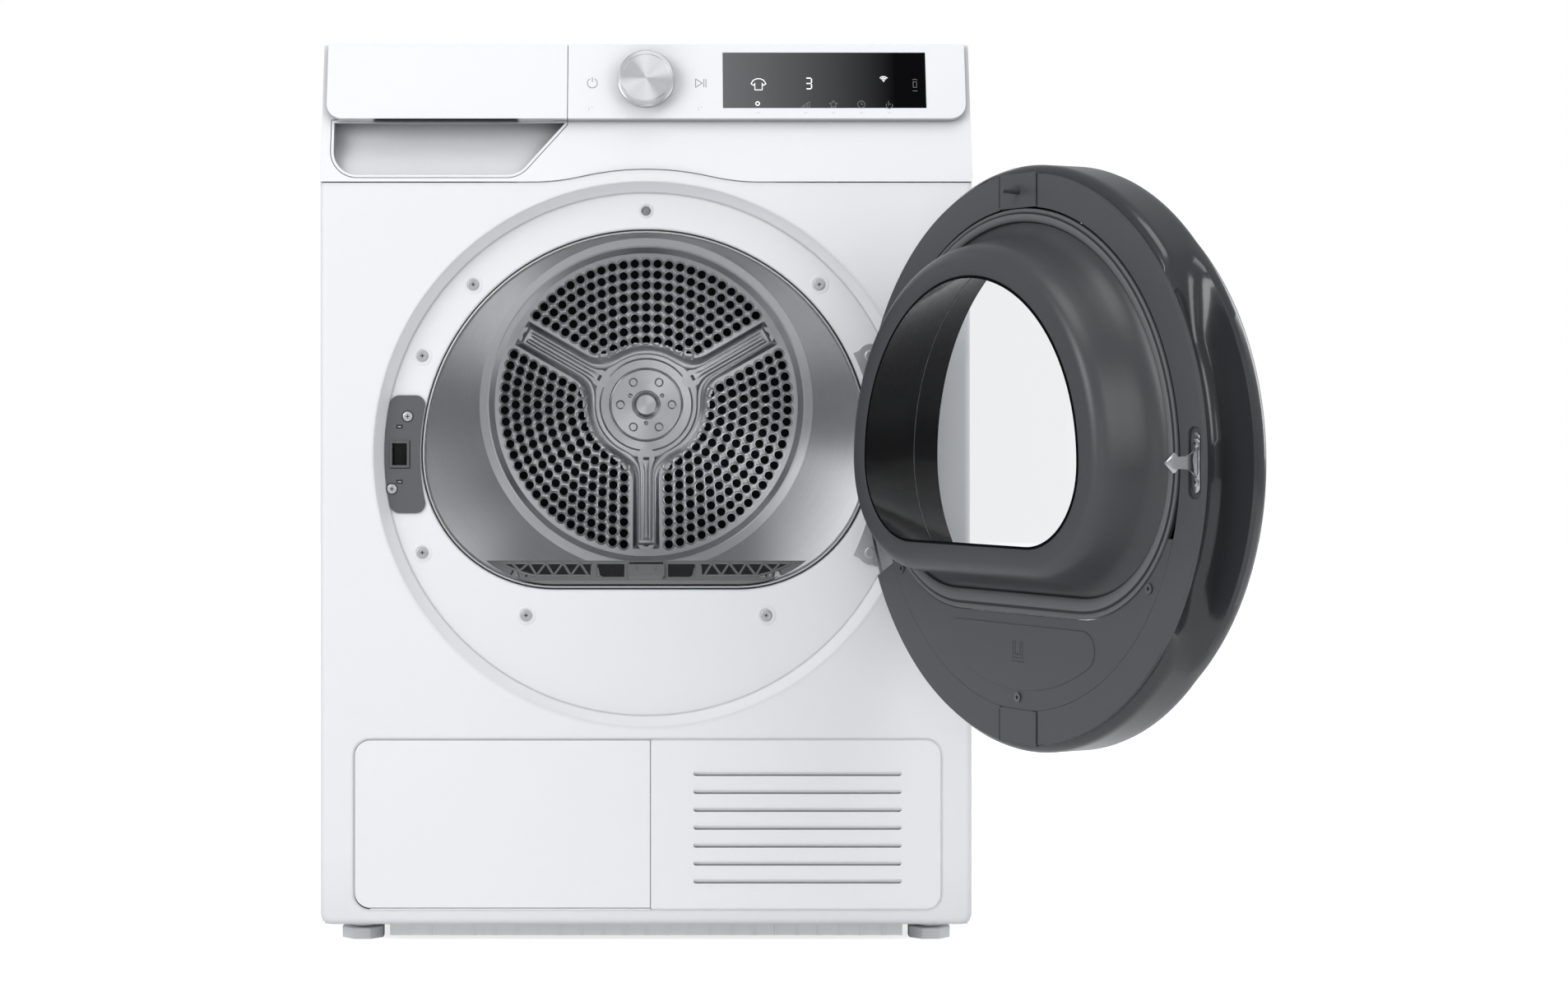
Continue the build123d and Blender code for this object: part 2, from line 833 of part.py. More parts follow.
# Door, modelled closed and then swung open about its hinge
flange_back = flange_face - flange_thick
hinge_slot_half = lug_half + 1.5
hinge_slot_left = hinge_x - 14.0
notch_half = 27.0
bracket_half = 26.0
handle_start = 180 - handle_half_angle
hook_length = 30.0
leaf_thick = 2.0
tab_face = flange_face + 0.6
tab_seat = flange_back + 1.6
tab_gap = 0.5
field_radius = 194.0
field_top = 139.0
field_corner = 16.0
field_rise = 0.6
door_screw_radius = 200.0
hook_seat = flange_face - 3.0
hook_plate = 2.0
filler_half = handle_half_angle + 8.0
run_out = 380.0


def hinge_slot():
    z = door_height
    return block(hinge_slot_left, rim_radius + 40, -80, 40, z - hinge_slot_half, z + hinge_slot_half)


def swing(body):
    axis = Axis((hinge_x, behind(-hinge_forward), 0), (0, 0, 1))
    return body.rotate(axis, door_open_angle)


def make_door_outer_ring():
    """The domed outer ring, with a scooped handle behind its lip on the latch side."""
    wall = rim_wall
    inner_rim = rim_radius - wall
    ring = turned(
        [
            (flange_outer + 0.2, flange_back),
            (rim_radius, 3),
            (rim_radius, 13 - rim_front),
            (rim_radius - 8, 5 - rim_front),
            (rim_radius - 18, 1 - rim_front),
            (glass_radius + 0.3, -rim_front),
            (glass_radius + 0.3, glass_thick - rim_front),
            (rim_radius - 20, wall + 1 - rim_front),
            (rim_radius - 11, wall + 4.5 - rim_front),
            (inner_rim, wall + 12 - rim_front),
            (inner_rim, 2),
            (flange_outer + 0.2, 4),
        ],
        0,
        door_height,
    )
    lip_back = 22.0 - rim_front
    lip_front = 10.0 - rim_front
    groove_deep = flange_outer - 18
    inset = 0.5
    filler = [
        (groove_deep - 3, flange_back - inset),
        (flange_outer, flange_back - inset),
        (rim_radius - inset, 3 - inset),
        (rim_radius - inset, lip_back - 3),
        (groove_deep - 3, lip_back - 3),
    ]
    ring += turned(filler, 0, door_height, 180 - filler_half, 2 * filler_half)
    shift = 27.8
    bulge = Pos(-shift, door_height) * Circle(rim_radius + handle_bulge - shift)
    bulge -= Pos(0, door_height) * Circle(rim_radius - 2)
    ring += slab(bulge, lip_front, lip_back + 1)
    mouth = (run_out + flange_outer - inset, flange_back + inset)
    lip_edge = (run_out + rim_radius + 1, lip_back)
    beyond = run_out + rim_radius + 30
    groove = make_face(
        ThreePointArc(mouth, (run_out + groove_deep, -9), lip_edge)
        + Polyline(lip_edge, (beyond, lip_back), (beyond, flange_back + 4), mouth)
    )
    ring -= turned(groove, run_out, door_height, handle_start, 2 * handle_half_angle)
    return ring - hinge_slot()


def make_door_inner_frame():
    """The flat dark ring on the drum side, notched for the hinge and for the two tabs."""
    ring = turned(
        [
            (flange_inner, flange_back),
            (flange_outer, flange_back),
            (flange_outer, flange_face),
            (flange_inner, flange_face),
        ],
        0,
        door_height,
    )
    skirt = [
        (flange_outer - 3, -4),
        (flange_outer, -4),
        (flange_outer, flange_back + 1),
        (flange_outer - 3, flange_back + 1),
    ]
    ring += turned(skirt, 0, door_height)
    notch = [(flange_inner - 3, -20), (rim_radius, -20), (rim_radius, 30), (flange_inner - 3, 30)]
    ring -= turned(notch, 0, door_height, -notch_half, 2 * notch_half)
    inside = flange_outer - 12
    handle = [(inside, -20), (rim_radius, -20), (rim_radius, flange_back), (inside, flange_back)]
    ring -= turned(handle, 0, door_height, 179 - filler_half, 2 * filler_half + 2)
    half = tab_width / 2 + tab_gap
    seat = Pos(-latch_x, door_height) * RectangleRounded(15, 56, 6)
    ring -= slab(seat, hook_seat, 30)
    return ring - block(-half, half, tab_seat, 30, door_height - rim_radius, door_height + rim_radius)


# The bowl's side flares softly from the seal, each step as radius drop, flat drop and rise
bowl_flare = ((0, 0, 0), (5.5, 4.5, 3), (9.5, 8.0, 8), (13.0, 11.0, 16), (16.0, 13.5, 28))
# Its shoulder turns over to the lip, each step as radius, flat and distance behind the lip
bowl_shoulder = ((8.0, 7.0, 14), (5.5, 5.0, 8), (2.5, 2.2, 3.5), (-1.0, -1.0, 1.0), (-4.5, -4.5, 0))


def make_door_bowl():
    """The grey bowl that fills the drum's mouth, with a flat flange for the seal."""
    rim = flange_face + bowl_depth
    base = flange_face - 3
    flare = [
        (seal_inner - 1 - drop, seal_flat_inner - 1 - fall, flange_face + rise)
        for drop, fall, rise in bowl_flare
    ]
    shoulder_steps = [(lip_radius + out, lip_flat + up, rim - back) for out, up, back in bowl_shoulder]
    bowl = d_loft((seal_inner - 1, seal_flat_inner - 1, base), *flare, *shoulder_steps)
    bowl += slab(d_shape(seal_outer + 0.5, seal_flat_outer + 0.5), base, flange_face)
    inner_flare = [(radius - bowl_wall, flat - bowl_wall, depth) for radius, flat, depth in flare]
    inner_top = (lip_radius + 4 - bowl_wall, lip_flat + 4 - bowl_wall, rim - 10)
    hollow = d_loft(
        (seal_inner - 1 - bowl_wall, seal_flat_inner - 1 - bowl_wall, base - 1),
        *inner_flare,
        inner_top,
    )
    hollow -= funnel_body(funnel_wall + 0.1 + bowl_wall)
    return bowl - funnel_body(funnel_wall + 0.1) - hollow


def funnel_body(grow):
    """The flared hole through the door, wider towards the outside."""
    rim = flange_face + bowl_depth
    far = glass_thick - rim_front
    if grow > funnel_wall:
        rim += 1
    return d_loft(
        (window_radius + grow, window_flat + grow, rim),
        (funnel_front_radius + grow, funnel_front_flat + grow, far),
    )


def make_door_funnel():
    return funnel_body(funnel_wall) - funnel_inside()


def funnel_inside():
    rim = flange_face + bowl_depth
    far = glass_thick - rim_front
    return d_loft(
        (window_radius, window_flat, rim),
        (funnel_front_radius, funnel_front_flat, far),
    )


def make_door_glass():
    return rod_y(0, door_height, glass_radius, -rim_front, glass_thick - rim_front)


def make_door_seal():
    ring = d_shape(seal_outer, seal_flat_outer) - d_shape(seal_inner, seal_flat_inner)
    return slab(ring, flange_face, flange_face + seal_thick)


def make_door_lower_panel():
    """The infill below the seal, with a tab at six o'clock and a shallow raised field."""
    outline = Pos(0, door_height) * Circle(flange_inner - 0.2)
    outline -= d_shape(seal_outer + 0.8, seal_flat_outer + 0.8)
    outline &= Pos(0, door_height - 60 - 500) * Rectangle(1000, 1000)
    panel = slab(outline, flange_face - 3, flange_face)
    half = tab_width / 2
    low = door_height - flange_outer
    panel += block(-half, half, tab_seat, tab_face, low, door_height - flange_inner + 1)
    field = Circle(field_radius) & (Pos(0, -field_top - 500) * Rectangle(1000, 1000))
    field = Pos(0, door_height) * fillet(field.vertices(), field_corner)
    panel += slab(field, flange_face - 0.5, flange_face + field_rise)
    for x, up in door_screw_places():
        panel -= rod_y(x, door_height + up, screw_shank + shank_clear, -10, 30)
    return panel


def door_screw_places():
    far = door_screw_radius
    angles = (-90, -30, -150)
    return [(far * cos(radians(a)), far * sin(radians(a))) for a in angles]


def make_door_screws():
    screws = []
    for x, up in door_screw_places():
        z = door_height + up
        head = rod_y(x, z, screw_head - 1, flange_face, flange_face + 1.4)
        head -= rod_y(x, z, 1.6, flange_face + 0.7, flange_face + 2)
        screws.append(head + rod_y(x, z, screw_shank, flange_face - 8, flange_face + 0.1))
    return Compound(children=screws)


def make_switch_plate():
    """The tab at twelve o'clock with the tapered pin that works the door switch."""
    half = tab_width / 2
    top = door_height + flange_outer
    plate = block(-half, half, tab_seat, tab_face, door_height + flange_inner - 1, top)
    pin = turned(
        [
            (0, tab_face - 1),
            (switch_hole - 0.5, tab_face - 1),
            (switch_hole - 2, tab_face + 16),
            (0, tab_face + 16),
        ],
        0,
        door_height + switch_pin_height,
    )
    return plate + pin


def make_latch_hook():
    """A bright plate with a T-headed hook."""
    z = door_height
    far = hook_seat + hook_plate
    plate = block(-latch_x - 5, -latch_x + 5, hook_seat, far, z - 23.5, z + 23.5)
    plate = fillet(plate.edges().filter_by(Axis.Y), 3)
    stem = block(-latch_x - 3, -latch_x + 3, far - 0.5, far + hook_length, z - 4, z + 4)
    head = block(-latch_x - 3, -latch_x + 3, far + hook_length - 7, far + hook_length, z - 8, z + 8)
    head = fillet(head.edges().filter_by(Axis.X), 2)
    body = plate + stem + head
    for up in (-15, 15):
        body += rod_y(-latch_x, z + up, 3.6, far - 0.2, far + 0.8)
    return body


def make_hinge_bracket():
    """The steel arc on the recess floor, its two screw ears and the lug that carries the pin."""
    z = door_height
    ring = Pos(0, z) * (Circle(flange_outer - 2) - Circle(flange_inner + 2))
    wedge = polygon(
        (0, z),
        (500, z - 500 * tan(radians(bracket_half))),
        (500, z + 500 * tan(radians(bracket_half))),
    )
    plate = ring & wedge
    for x, up in ear_screws:
        plate += Pos(x, z + up) * Circle(11)
    body = slab(plate, ear_face, recess_depth)
    for x, up in ear_screws:
        body -= rod_y(x, z + up, screw_shank + shank_clear, 0, 30)
    body += block(hinge_x - 4, hinge_x + 4, -hinge_forward, ear_face + 0.5, z - lug_half, z + lug_half)
    body += rod_z(hinge_x, -hinge_forward, knuckle_radius, z - lug_half, z + lug_half)
    return body - rod_z(hinge_x, -hinge_forward, pin_radius, z - 60, z + 60)


def make_hinge_pin():
    z = door_height
    reach = lug_half + running + knuckle_height
    return rod_z(hinge_x, -hinge_forward, pin_radius, z - reach, z + reach)


def make_hinge_leaf():
    """The door's half of the hinge: a curved plate and two knuckles above and below the lug."""
    z = door_height
    ring = Pos(0, z) * (Circle(flange_outer - 4) - Circle(flange_inner - 1))
    spread = radians(notch_half + 3)
    wedge = polygon((0, z), (500, z - 500 * tan(spread)), (500, z + 500 * tan(spread)))
    body = slab(ring & wedge, flange_back - leaf_thick, flange_back) - hinge_slot()
    for side in (-1, 1):
        near = z + side * (lug_half + 2 * running)
        far = z + side * (lug_half + knuckle_height)
        low = min(near, far)
        high = max(near, far)
        arm_low = max(low, z + hinge_slot_half) if side > 0 else low
        arm_high = high if side > 0 else min(high, z - hinge_slot_half)
        body += block(
            hinge_x - 4,
            hinge_x + 4,
            -hinge_forward,
            flange_back - leaf_thick / 2,
            arm_low,
            arm_high,
        )
        body += rod_z(hinge_x, -hinge_forward, knuckle_radius, low, high)
    return body - rod_z(hinge_x, -hinge_forward, pin_radius + running, z - 60, z + 60)


nodes["hinge_bracket"] = make_hinge_bracket()
nodes["hinge_pin"] = make_hinge_pin()
door_makers = {
    "door_outer_ring": make_door_outer_ring,
    "door_inner_frame": make_door_inner_frame,
    "door_bowl": make_door_bowl,
    "door_funnel": make_door_funnel,
    "door_glass": make_door_glass,
    "door_seal": make_door_seal,
    "door_lower_panel": make_door_lower_panel,
    "door_screws": make_door_screws,
    "door_switch_plate": make_switch_plate,
    "latch_hook": make_latch_hook,
    "hinge_leaf": make_hinge_leaf,
}
for door_name, make_piece in door_makers.items():
    nodes[door_name] = swing(make_piece())

# Drum
collar_back = drum_front + collar_length
shoulder = collar_back + 6.0
spoke_angles = (30.0, 150.0, 270.0)
spoke_half = 9.0
spoke_rise = 3.0
channel_half = 3.2
hub_face = back_depth - 3.0


def make_drum_shell():
    """The rolled steel drum: a front collar, the straight barrel and the coned rear shoulder."""
    t = drum_sheet
    barrel = drum_radius
    rest = back_depth - 7.0
    return turned(
        [
            (collar_radius, drum_front),
            (collar_radius + t, drum_front),
            (collar_radius + t, collar_back),
            (barrel + t, shoulder),
            (barrel + t, drum_straight_end),
            (cone_inner_radius + 1, cone_end + t),
            (back_radius + 8, rest + t),
            (back_radius + 8, rest),
            (cone_inner_radius, cone_end),
            (barrel, drum_straight_end - t / 2),
            (barrel, shoulder + t / 2),
            (collar_radius, collar_back + t),
        ],
        0,
        drum_axis_height,
    )


def hole_places():
    """Eight arcs of holes in each of the three fields between the spokes."""
    places = []
    for spoke in spoke_angles:
        middle = spoke + 60
        for row in range(hole_rows):
            radius = outer_row_radius - row_pitch * row
            step = degrees(hole_arc_pitch / radius)
            count = outer_row_half_count - row
            for number in range(-count, count + 1):
                a = radians(middle + step * number)
                places.append((radius * cos(a), radius * sin(a)))
    return places


def make_drum_back():
    """The perforated rear disc, dished behind the shoulder, with three pressed spokes."""
    rest = back_depth - 7.0 + drum_sheet
    t = back_sheet
    rim = back_radius + 16
    disc = turned(
        [
            (0, back_depth),
            (back_radius, back_depth),
            (back_radius + 6, rest + t),
            (back_radius + 6, rest),
            (rim, rest),
            (rim, rest + t),
            (back_radius + 6 + t, rest + t),
            (back_radius + t, back_depth + t),
            (0, back_depth + t),
        ],
        0,
        drum_axis_height,
    )
    holes = Sketch() + [Pos(x, drum_axis_height + z) * Circle(hole_radius) for x, z in hole_places()]
    disc -= slab(holes, back_depth - 5, back_depth + 5)
    for angle in spoke_angles:
        bar = Pos(0, drum_axis_height) * Rot(0, 0, angle) * Pos(0.5 * (hub_radius + 8 + back_radius - 6), 0)
        long = back_radius - 6 - hub_radius - 8
        ridge = bar * RectangleRounded(long, 2 * spoke_half, spoke_half - 1)
        disc += slab(ridge, back_depth - spoke_rise, back_depth + 0.5)
        channel = bar * RectangleRounded(long - spoke_half, 2 * channel_half, channel_half - 0.5)
        disc -= slab(channel, back_depth - spoke_rise - 1, back_depth - 0.3)
    ring = [
        (hub_radius + 8, back_depth + 0.5),
        (hub_radius + 12, back_depth - 3),
        (hub_radius + 18, back_depth - 3),
        (hub_radius + 25, back_depth + 0.5),
    ]
    disc += turned(ring, 0, drum_axis_height)
    return disc - rod_y(0, drum_axis_height, shaft_radius + 6, back_depth - 9, back_depth + 9)


def make_drum_hub():
    """The hub plate, its six screws and cap, and the shaft behind it."""
    z = drum_axis_height
    back_face = back_depth + back_sheet
    hub = rod_y(0, z, hub_radius, hub_face, back_depth)
    hub += rod_y(0, z, shaft_radius + 5.9, back_depth - 0.1, back_face + 0.1)
    hub += rod_y(0, z, hub_radius + 6, back_face, back_face + 4)
    hub += rod_y(0, z, shaft_radius, back_face + 3, shaft_end)
    cap = turned(
        [
            (0, hub_face - 5),
            (10.5, hub_face - 5),
            (13.7, hub_face - 2),
            (13.7, hub_face + 0.5),
            (0, hub_face + 0.5),
        ],
        0,
        z,
    )
    hub += cap
    for number in range(6):
        a = radians(60 * number)
        x = hub_screw_circle / 2 * cos(a)
        up = hub_screw_circle / 2 * sin(a)
        hub += rod_y(x, z + up, 3.4, hub_face - 1.2, hub_face + 0.5)
        hub -= rod_y(x, z + up, 1.4, hub_face - 2, hub_face - 0.4)
    return hub


def make_drum_lifters():
    """Three hollow paddles on the barrel's wall."""
    lifters = []
    base = drum_radius - 0.05
    for number in range(3):
        near = shoulder + 18
        far = drum_straight_end - 18
        side = 34.0
        foot = sqrt(base**2 - side**2)
        arc = ThreePointArc((-side, -foot), (0, -base), (side, -foot))
        top = base - lifter_height
        sides = Polyline((side, -foot), (9, -top), (-9, -top), (-side, -foot))
        shape = make_face(arc + sides)
        shape = Pos(0, drum_axis_height) * Rot(0, 0, 120 * number) * shape
        lifters.append(slab(shape, near, far))
    return Compound(children=lifters)


nodes["drum_shell"] = make_drum_shell()
nodes["drum_back"] = make_drum_back()
nodes["drum_hub"] = make_drum_hub()
nodes["drum_lifters"] = make_drum_lifters()

# Bulkheads, felt and rollers
roller_reach = collar_radius + drum_sheet + roller_radius + slip
roller_front = drum_front + 2.0
pocket_wall = 1.5
blade_back = blade_front + blade_thick


def roller_place(side):
    a = radians(roller_angle)
    return side * roller_reach * sin(a), drum_axis_height - roller_reach * cos(a)


def make_front_bulkhead():
    """The plate behind the front panel: the mouth, the felt's rim, the filter pocket and the axles."""
    near = bulkhead_depth
    far = near + bulkhead_sheet
    edge = half_width - sheet - slip
    low = lower_top + 12
    plate = block(-edge, edge, near, far, low, seam_height - 2)
    rim = rim_flange_radius
    plate += turned(
        [(rim - 1.5, near), (rim, near), (rim, collar_back), (rim - 1.5, collar_back)],
        0,
        drum_axis_height,
    )
    plate -= slab(d_shape(opening_radius + 0.5, opening_flat + 0.5), near - 1, far + 1)
    sleeve = d_shape(opening_radius + sleeve_wall, opening_flat + sleeve_wall)
    plate += slab(sleeve - d_shape(opening_radius, opening_flat), sleeve_front, far)
    side = blade_half + 2 + pocket_wall
    pocket_near = blade_front - 2
    pocket_top = door_height - opening_flat - 8
    plate += block(-side, side, pocket_near - pocket_wall, near + 0.5, blade_bottom - 4, pocket_top)
    inner = blade_half + 2
    ledge = blade_half - 16
    plate -= block(-inner, inner, pocket_near, near, blade_bottom - slip, door_height)
    plate -= block(-ledge, ledge, pocket_near, near, blade_bottom - 10, door_height)
    half_w = latch_hole_width / 2 + 3.5
    half_h = latch_hole_height / 2 + 3.5
    plate -= block(
        -latch_x - half_w,
        -latch_x + half_w,
        near - 1,
        far + 1,
        door_height - half_h,
        door_height + half_h,
    )
    z = door_height + switch_pin_height
    plate -= block(-11.5, 11.5, near - 1, far + 1, z - 9.5, z + 9.5)
    for side in (-1, 1):
        x, height = roller_place(side)
        plate += rod_y(x, height, axle_radius + 5, far - 0.5, roller_front - slip)
        plate += rod_y(x, height, axle_radius, far, roller_front + roller_width + 3)
    return plate


def make_felt_seal():
    inner = rim_flange_radius + 0.1
    outer = collar_radius - slip
    near = drum_front + 2
    far = collar_back - 1
    return turned([(inner, near), (outer, near), (outer, far), (inner, far)], 0, drum_axis_height)


def make_roller(side):
    x, z = roller_place(side)
    near = roller_front
    far = near + roller_width
    wheel = rod_y(x, z, roller_radius, near, far)
    wheel -= turned(
        [(9, near - 1), (roller_radius - 5, near - 1), (roller_radius - 5, near + 3), (9, near + 3)],
        x,
        z,
    )
    return wheel - rod_y(x, z, axle_radius + running, near - 1, far + 1)


def make_rear_duct():
    """The rear bulkhead with the round air channel that faces the drum's holes."""
    edge = half_width - sheet - slip
    near = rear_bulkhead_depth
    far = near + 2
    z = drum_axis_height
    plate = block(-edge, edge, near, far, 230, cabinet_height - top_cover_drop)
    mouth = cone_end + drum_sheet + 2
    plate += turned(
        [
            (duct_radius, mouth),
            (duct_radius + 2, mouth),
            (duct_radius + 2, near + 0.5),
            (duct_radius, near + 0.5),
        ],
        0,
        z,
    )
    plate += rod_y(0, z, bearing_outer + 5, near - 10, far + 10)
    plate -= rod_y(0, z, bearing_outer, near - 20, far + 20)
    plate -= block(-120, -60, near - 1, far + 1, z - duct_radius + 20, z - duct_radius + 60)
    return plate


bearing_outer = 24.0


def make_rear_bearing():
    z = drum_axis_height
    near = rear_bulkhead_depth - 9
    far = rear_bulkhead_depth + 11
    ring = rod_y(0, z, bearing_outer - 0.01, near, far) - rod_y(
        0, z, shaft_radius + running, near - 1, far + 1
    )
    groove = [
        (shaft_radius + 4, near - 1),
        (bearing_outer - 4, near - 1),
        (bearing_outer - 4, near + 2),
        (shaft_radius + 4, near + 2),
    ]
    return ring - turned(groove, 0, z)


nodes["front_bulkhead"] = make_front_bulkhead()
nodes["felt_seal"] = make_felt_seal()
nodes["drum_roller_left"] = make_roller(-1)
nodes["drum_roller_right"] = make_roller(1)
nodes["rear_duct"] = make_rear_duct()
nodes["rear_bearing"] = make_rear_bearing()

# Drive: motor, belt, idler and fan
floor_top = tray_floor + 4.0
rotor_core = 33.0
fan_room = 6.0
fan_case_wall = 3.0
idler_axle = 4.0


def belt_outline(gap):
    circles = [
        Pos(0, drum_axis_height) * Circle(drum_radius + drum_sheet + gap),
        Pos(motor_x, motor_height) * Circle(pulley_radius + gap),
        Pos(idler_x, idler_height) * Circle(idler_radius + gap),
    ]
    return make_hull([e for c in circles for e in c.edges()])


def make_drive_belt():
    near = belt_depth - belt_width / 2
    loop = belt_outline(slip + belt_thick) - belt_outline(slip)
    return slab(loop, near, near + belt_width)


def make_motor_housing():
    """A round motor body with cooling ribs and two end bores for the shaft."""
    x = motor_x
    z = motor_height
    body = rod_y(x, z, motor_radius - 4, motor_front, motor_back)
    for number in range(7):
        near = motor_front + 8 + 12.5 * number
        body += rod_y(x, z, motor_radius, near, near + 6)
    body -= rod_y(x, z, rotor_core + 1, motor_front + 12, motor_back - 12)
    return body - rod_y(x, z, motor_shaft_radius + running, motor_front - 1, motor_back + 1)


def make_motor_rotor():
    """The rotor, its long shaft, the belt pulley and the fan wheel at the rear end."""
    x = motor_x
    z = motor_height
    rotor = rod_y(x, z, motor_shaft_radius, motor_front - 6, fan_back + 2)
    rotor += rod_y(x, z, rotor_core, motor_front + 13, motor_back - 13)
    near = belt_depth - belt_width / 2 - 1
    far = belt_depth + belt_width / 2 + 1
    rotor += rod_y(x, z, pulley_radius, near, far)
    for depth in (near - 2, far):
        rotor += rod_y(x, z, pulley_radius + 4, depth, depth + 2)
    rotor += rod_y(x, z, fan_radius, fan_back - 4, fan_back)
    rotor += rod_y(x, z, 16, fan_front, fan_back)
    blades = Sketch()
    for number in range(24):
        blade = Rot(0, 0, 15 * number) * Pos(fan_radius - 10, 0) * Rot(0, 0, 35) * Rectangle(16, 2)
        blades += Pos(x, z) * blade
    rotor += slab(blades, fan_front, fan_back - 3)
    rim = Pos(x, z) * (Circle(fan_radius) - Circle(fan_radius - 18))
    return rotor + slab(rim, fan_front, fan_front + 2)


def make_fan_housing():
    """The scroll round the fan, with a round inlet in front and a foot on the base."""
    x = motor_x
    z = motor_height
    inner = fan_radius + fan_room
    outer = inner + fan_case_wall
    near = fan_front - 6
    far = fan_back + 6
    body = rod_y(x, z, outer, near, far)
    body += block(x - outer, x - 10, near, far, z, z + outer + 30)
    body += block(x - 30, x + 30, near, far, floor_top, z - inner + 5)
    body -= rod_y(x, z, inner, near + fan_case_wall, far - fan_case_wall)
    wall = fan_case_wall
    body -= block(x - outer + wall, x - 10 - wall, near + wall, far - wall, z, z + outer + 60)
    return body - rod_y(x, z, fan_radius - 20, near - 1, near + wall + 1)


def make_idler_arm():
    """The tensioner's post and axle."""
    far = belt_depth + belt_width
    post = block(idler_x - 7, idler_x + 7, far + 2, far + 7, floor_top, idler_height + 8)
    post += block(idler_x - 14, idler_x + 14, far + 2, far + 30, floor_top, floor_top + 3)
    return post + rod_y(idler_x, idler_height, idler_axle, belt_depth - belt_width / 2 - 3, far + 3)


def make_idler_pulley():
    near = belt_depth - belt_width / 2 - 1
    far = belt_depth + belt_width / 2 + 1
    wheel = rod_y(idler_x, idler_height, idler_radius, near, far)
    for depth in (near - 1.5, far):
        wheel += rod_y(idler_x, idler_height, idler_radius + 4, depth, depth + 1.5)
    wheel += rod_y(idler_x, idler_height, idler_axle + 4, far, belt_depth + belt_width + 2 - slip)
    return wheel - rod_y(idler_x, idler_height, idler_axle + running, near - 5, far + 20)


nodes["drive_belt"] = make_drive_belt()
nodes["motor_housing"] = make_motor_housing()
nodes["motor_rotor"] = make_motor_rotor()
nodes["fan_housing"] = make_fan_housing()
nodes["idler_arm"] = make_idler_arm()
nodes["idler_pulley"] = make_idler_pulley()

# Heat pump


def make_exchanger(near, far):
    """A finned block on the base, its fins standing along the air's path."""
    body = block(exchanger_left, exchanger_right, near, far, floor_top, exchanger_top)
    count = int((exchanger_right - exchanger_left) / fin_pitch)
    slots = Sketch()
    for number in range(1, count):
        x = exchanger_left + fin_pitch * number
        slots += Pos(x, exchanger_top) * Rectangle(fin_gap, 2 * fin_slot_depth)
    return body - slab(slots, near - 1, far + 1)


def make_refrigerant_pipes():
    """Two copper runs between the compressor and the finned blocks."""
    suction_height = 110.0
    hot_height = 138.0
    run_x = 55.0
    from_depth = compressor_depth + 18
    to_depth = condenser_front + 40
    shift = from_depth - compressor_depth - pipe_radius
    edge = compressor_x - sqrt(compressor_radius**2 - shift**2) - slip
    suction = rod_x(
        compressor_depth,
        suction_height,
        pipe_radius,
        exchanger_right,
        compressor_x - compressor_radius - slip,
    )
    hot = rod_x(from_depth, hot_height, pipe_radius, run_x, edge)
    hot += rod_y(run_x, hot_height, pipe_radius, from_depth, to_depth)
    hot += rod_x(to_depth, hot_height, pipe_radius, exchanger_right, run_x)
    for depth in (from_depth, to_depth):
        hot += Pos(run_x, behind(depth), hot_height) * Sphere(pipe_radius)
    return [suction, hot]


def make_heat_exchangers():
    blocks = [
        make_exchanger(evaporator_front, evaporator_back),
        make_exchanger(condenser_front, condenser_back),
    ]
    return Compound(children=blocks + make_refrigerant_pipes())


def make_compressor():
    can = rod_z(compressor_x, compressor_depth, compressor_radius, floor_top, compressor_top)
    can = fillet(can.edges().group_by(Axis.Z)[-1], 22)
    wall = 14.0
    can -= rod_z(
        compressor_x,
        compressor_depth,
        compressor_radius - wall,
        floor_top + wall,
        compressor_top - wall,
    )
    return can + rod_z(
        compressor_x, compressor_depth, compressor_radius + 4, floor_top + 66, floor_top + 72
    )


def make_condensate_pump():
    body = block(drain_x - 32, drain_x + 32, pump_back - 75, pump_back, floor_top, drain_height + 16)
    return fillet(body.edges().filter_by(Axis.Z), 8) + rod_z(
        drain_x, pump_back - 38, 18, floor_top, drain_height + 30
    )


nodes["compressor"] = make_compressor()
nodes["heat_exchangers"] = make_heat_exchangers()
nodes["condensate_pump"] = make_condensate_pump()

# Access cover, inner cover and its lock
inner_cover_depth = 30.0
inner_cover_thick = 6.0
lug_width = 6.0
lug_side = 1.0
cover_lugs = (lower_left + 17.0, lower_split - 21.0)
lug_reach = 3.1
lever_x = (lower_left + lower_split) / 2
lever_height = 110.0
lever_length = 70.0
lever_boss = 5.0


def make_exchanger_cover():
    """The inner cover in front of the finned blocks, with the lugs that carry the outer cover."""
    near = inner_cover_depth
    far = near + inner_cover_thick
    left = lower_left + 7
    right = lower_split - 9
    body = block(left, right, near, far, floor_top, lower_top - 12)
    for number in range(5):
        x = left + 20 + (right - left - 40) * number / 4
        body += block(x - 1.5, x + 1.5, far - 0.5, far + 6, floor_top, lower_top - 20)
    z = cover_pivot_height
    for x in cover_lugs:
        half = lug_width / 2
        lug = block(
            x - half,
            x + half,
            cover_pivot_depth - lug_reach,
            near + 0.5,
            z - lug_reach,
            z + lug_reach,
        )
        body += lug - rod_x(cover_pivot_depth, z, cover_pin_radius + running, x - 20, x + 20)
    return body + rod_y(lever_x, lever_height, lever_boss, near - 10, near + 0.5)


def make_lock_lever():
    """A turning lever on the inner cover."""
    near = inner_cover_depth - 8
    far = inner_cover_depth - slip
    bar = Pos(lever_x, lever_height) * SlotOverall(lever_length, 14)
    lever = slab(bar, near, far)
    lever += slab(Pos(lever_x, lever_height) * Circle(12), near - 2, far)
    return lever - rod_y(lever_x, lever_height, lever_boss + running, near - 20, far + 20)


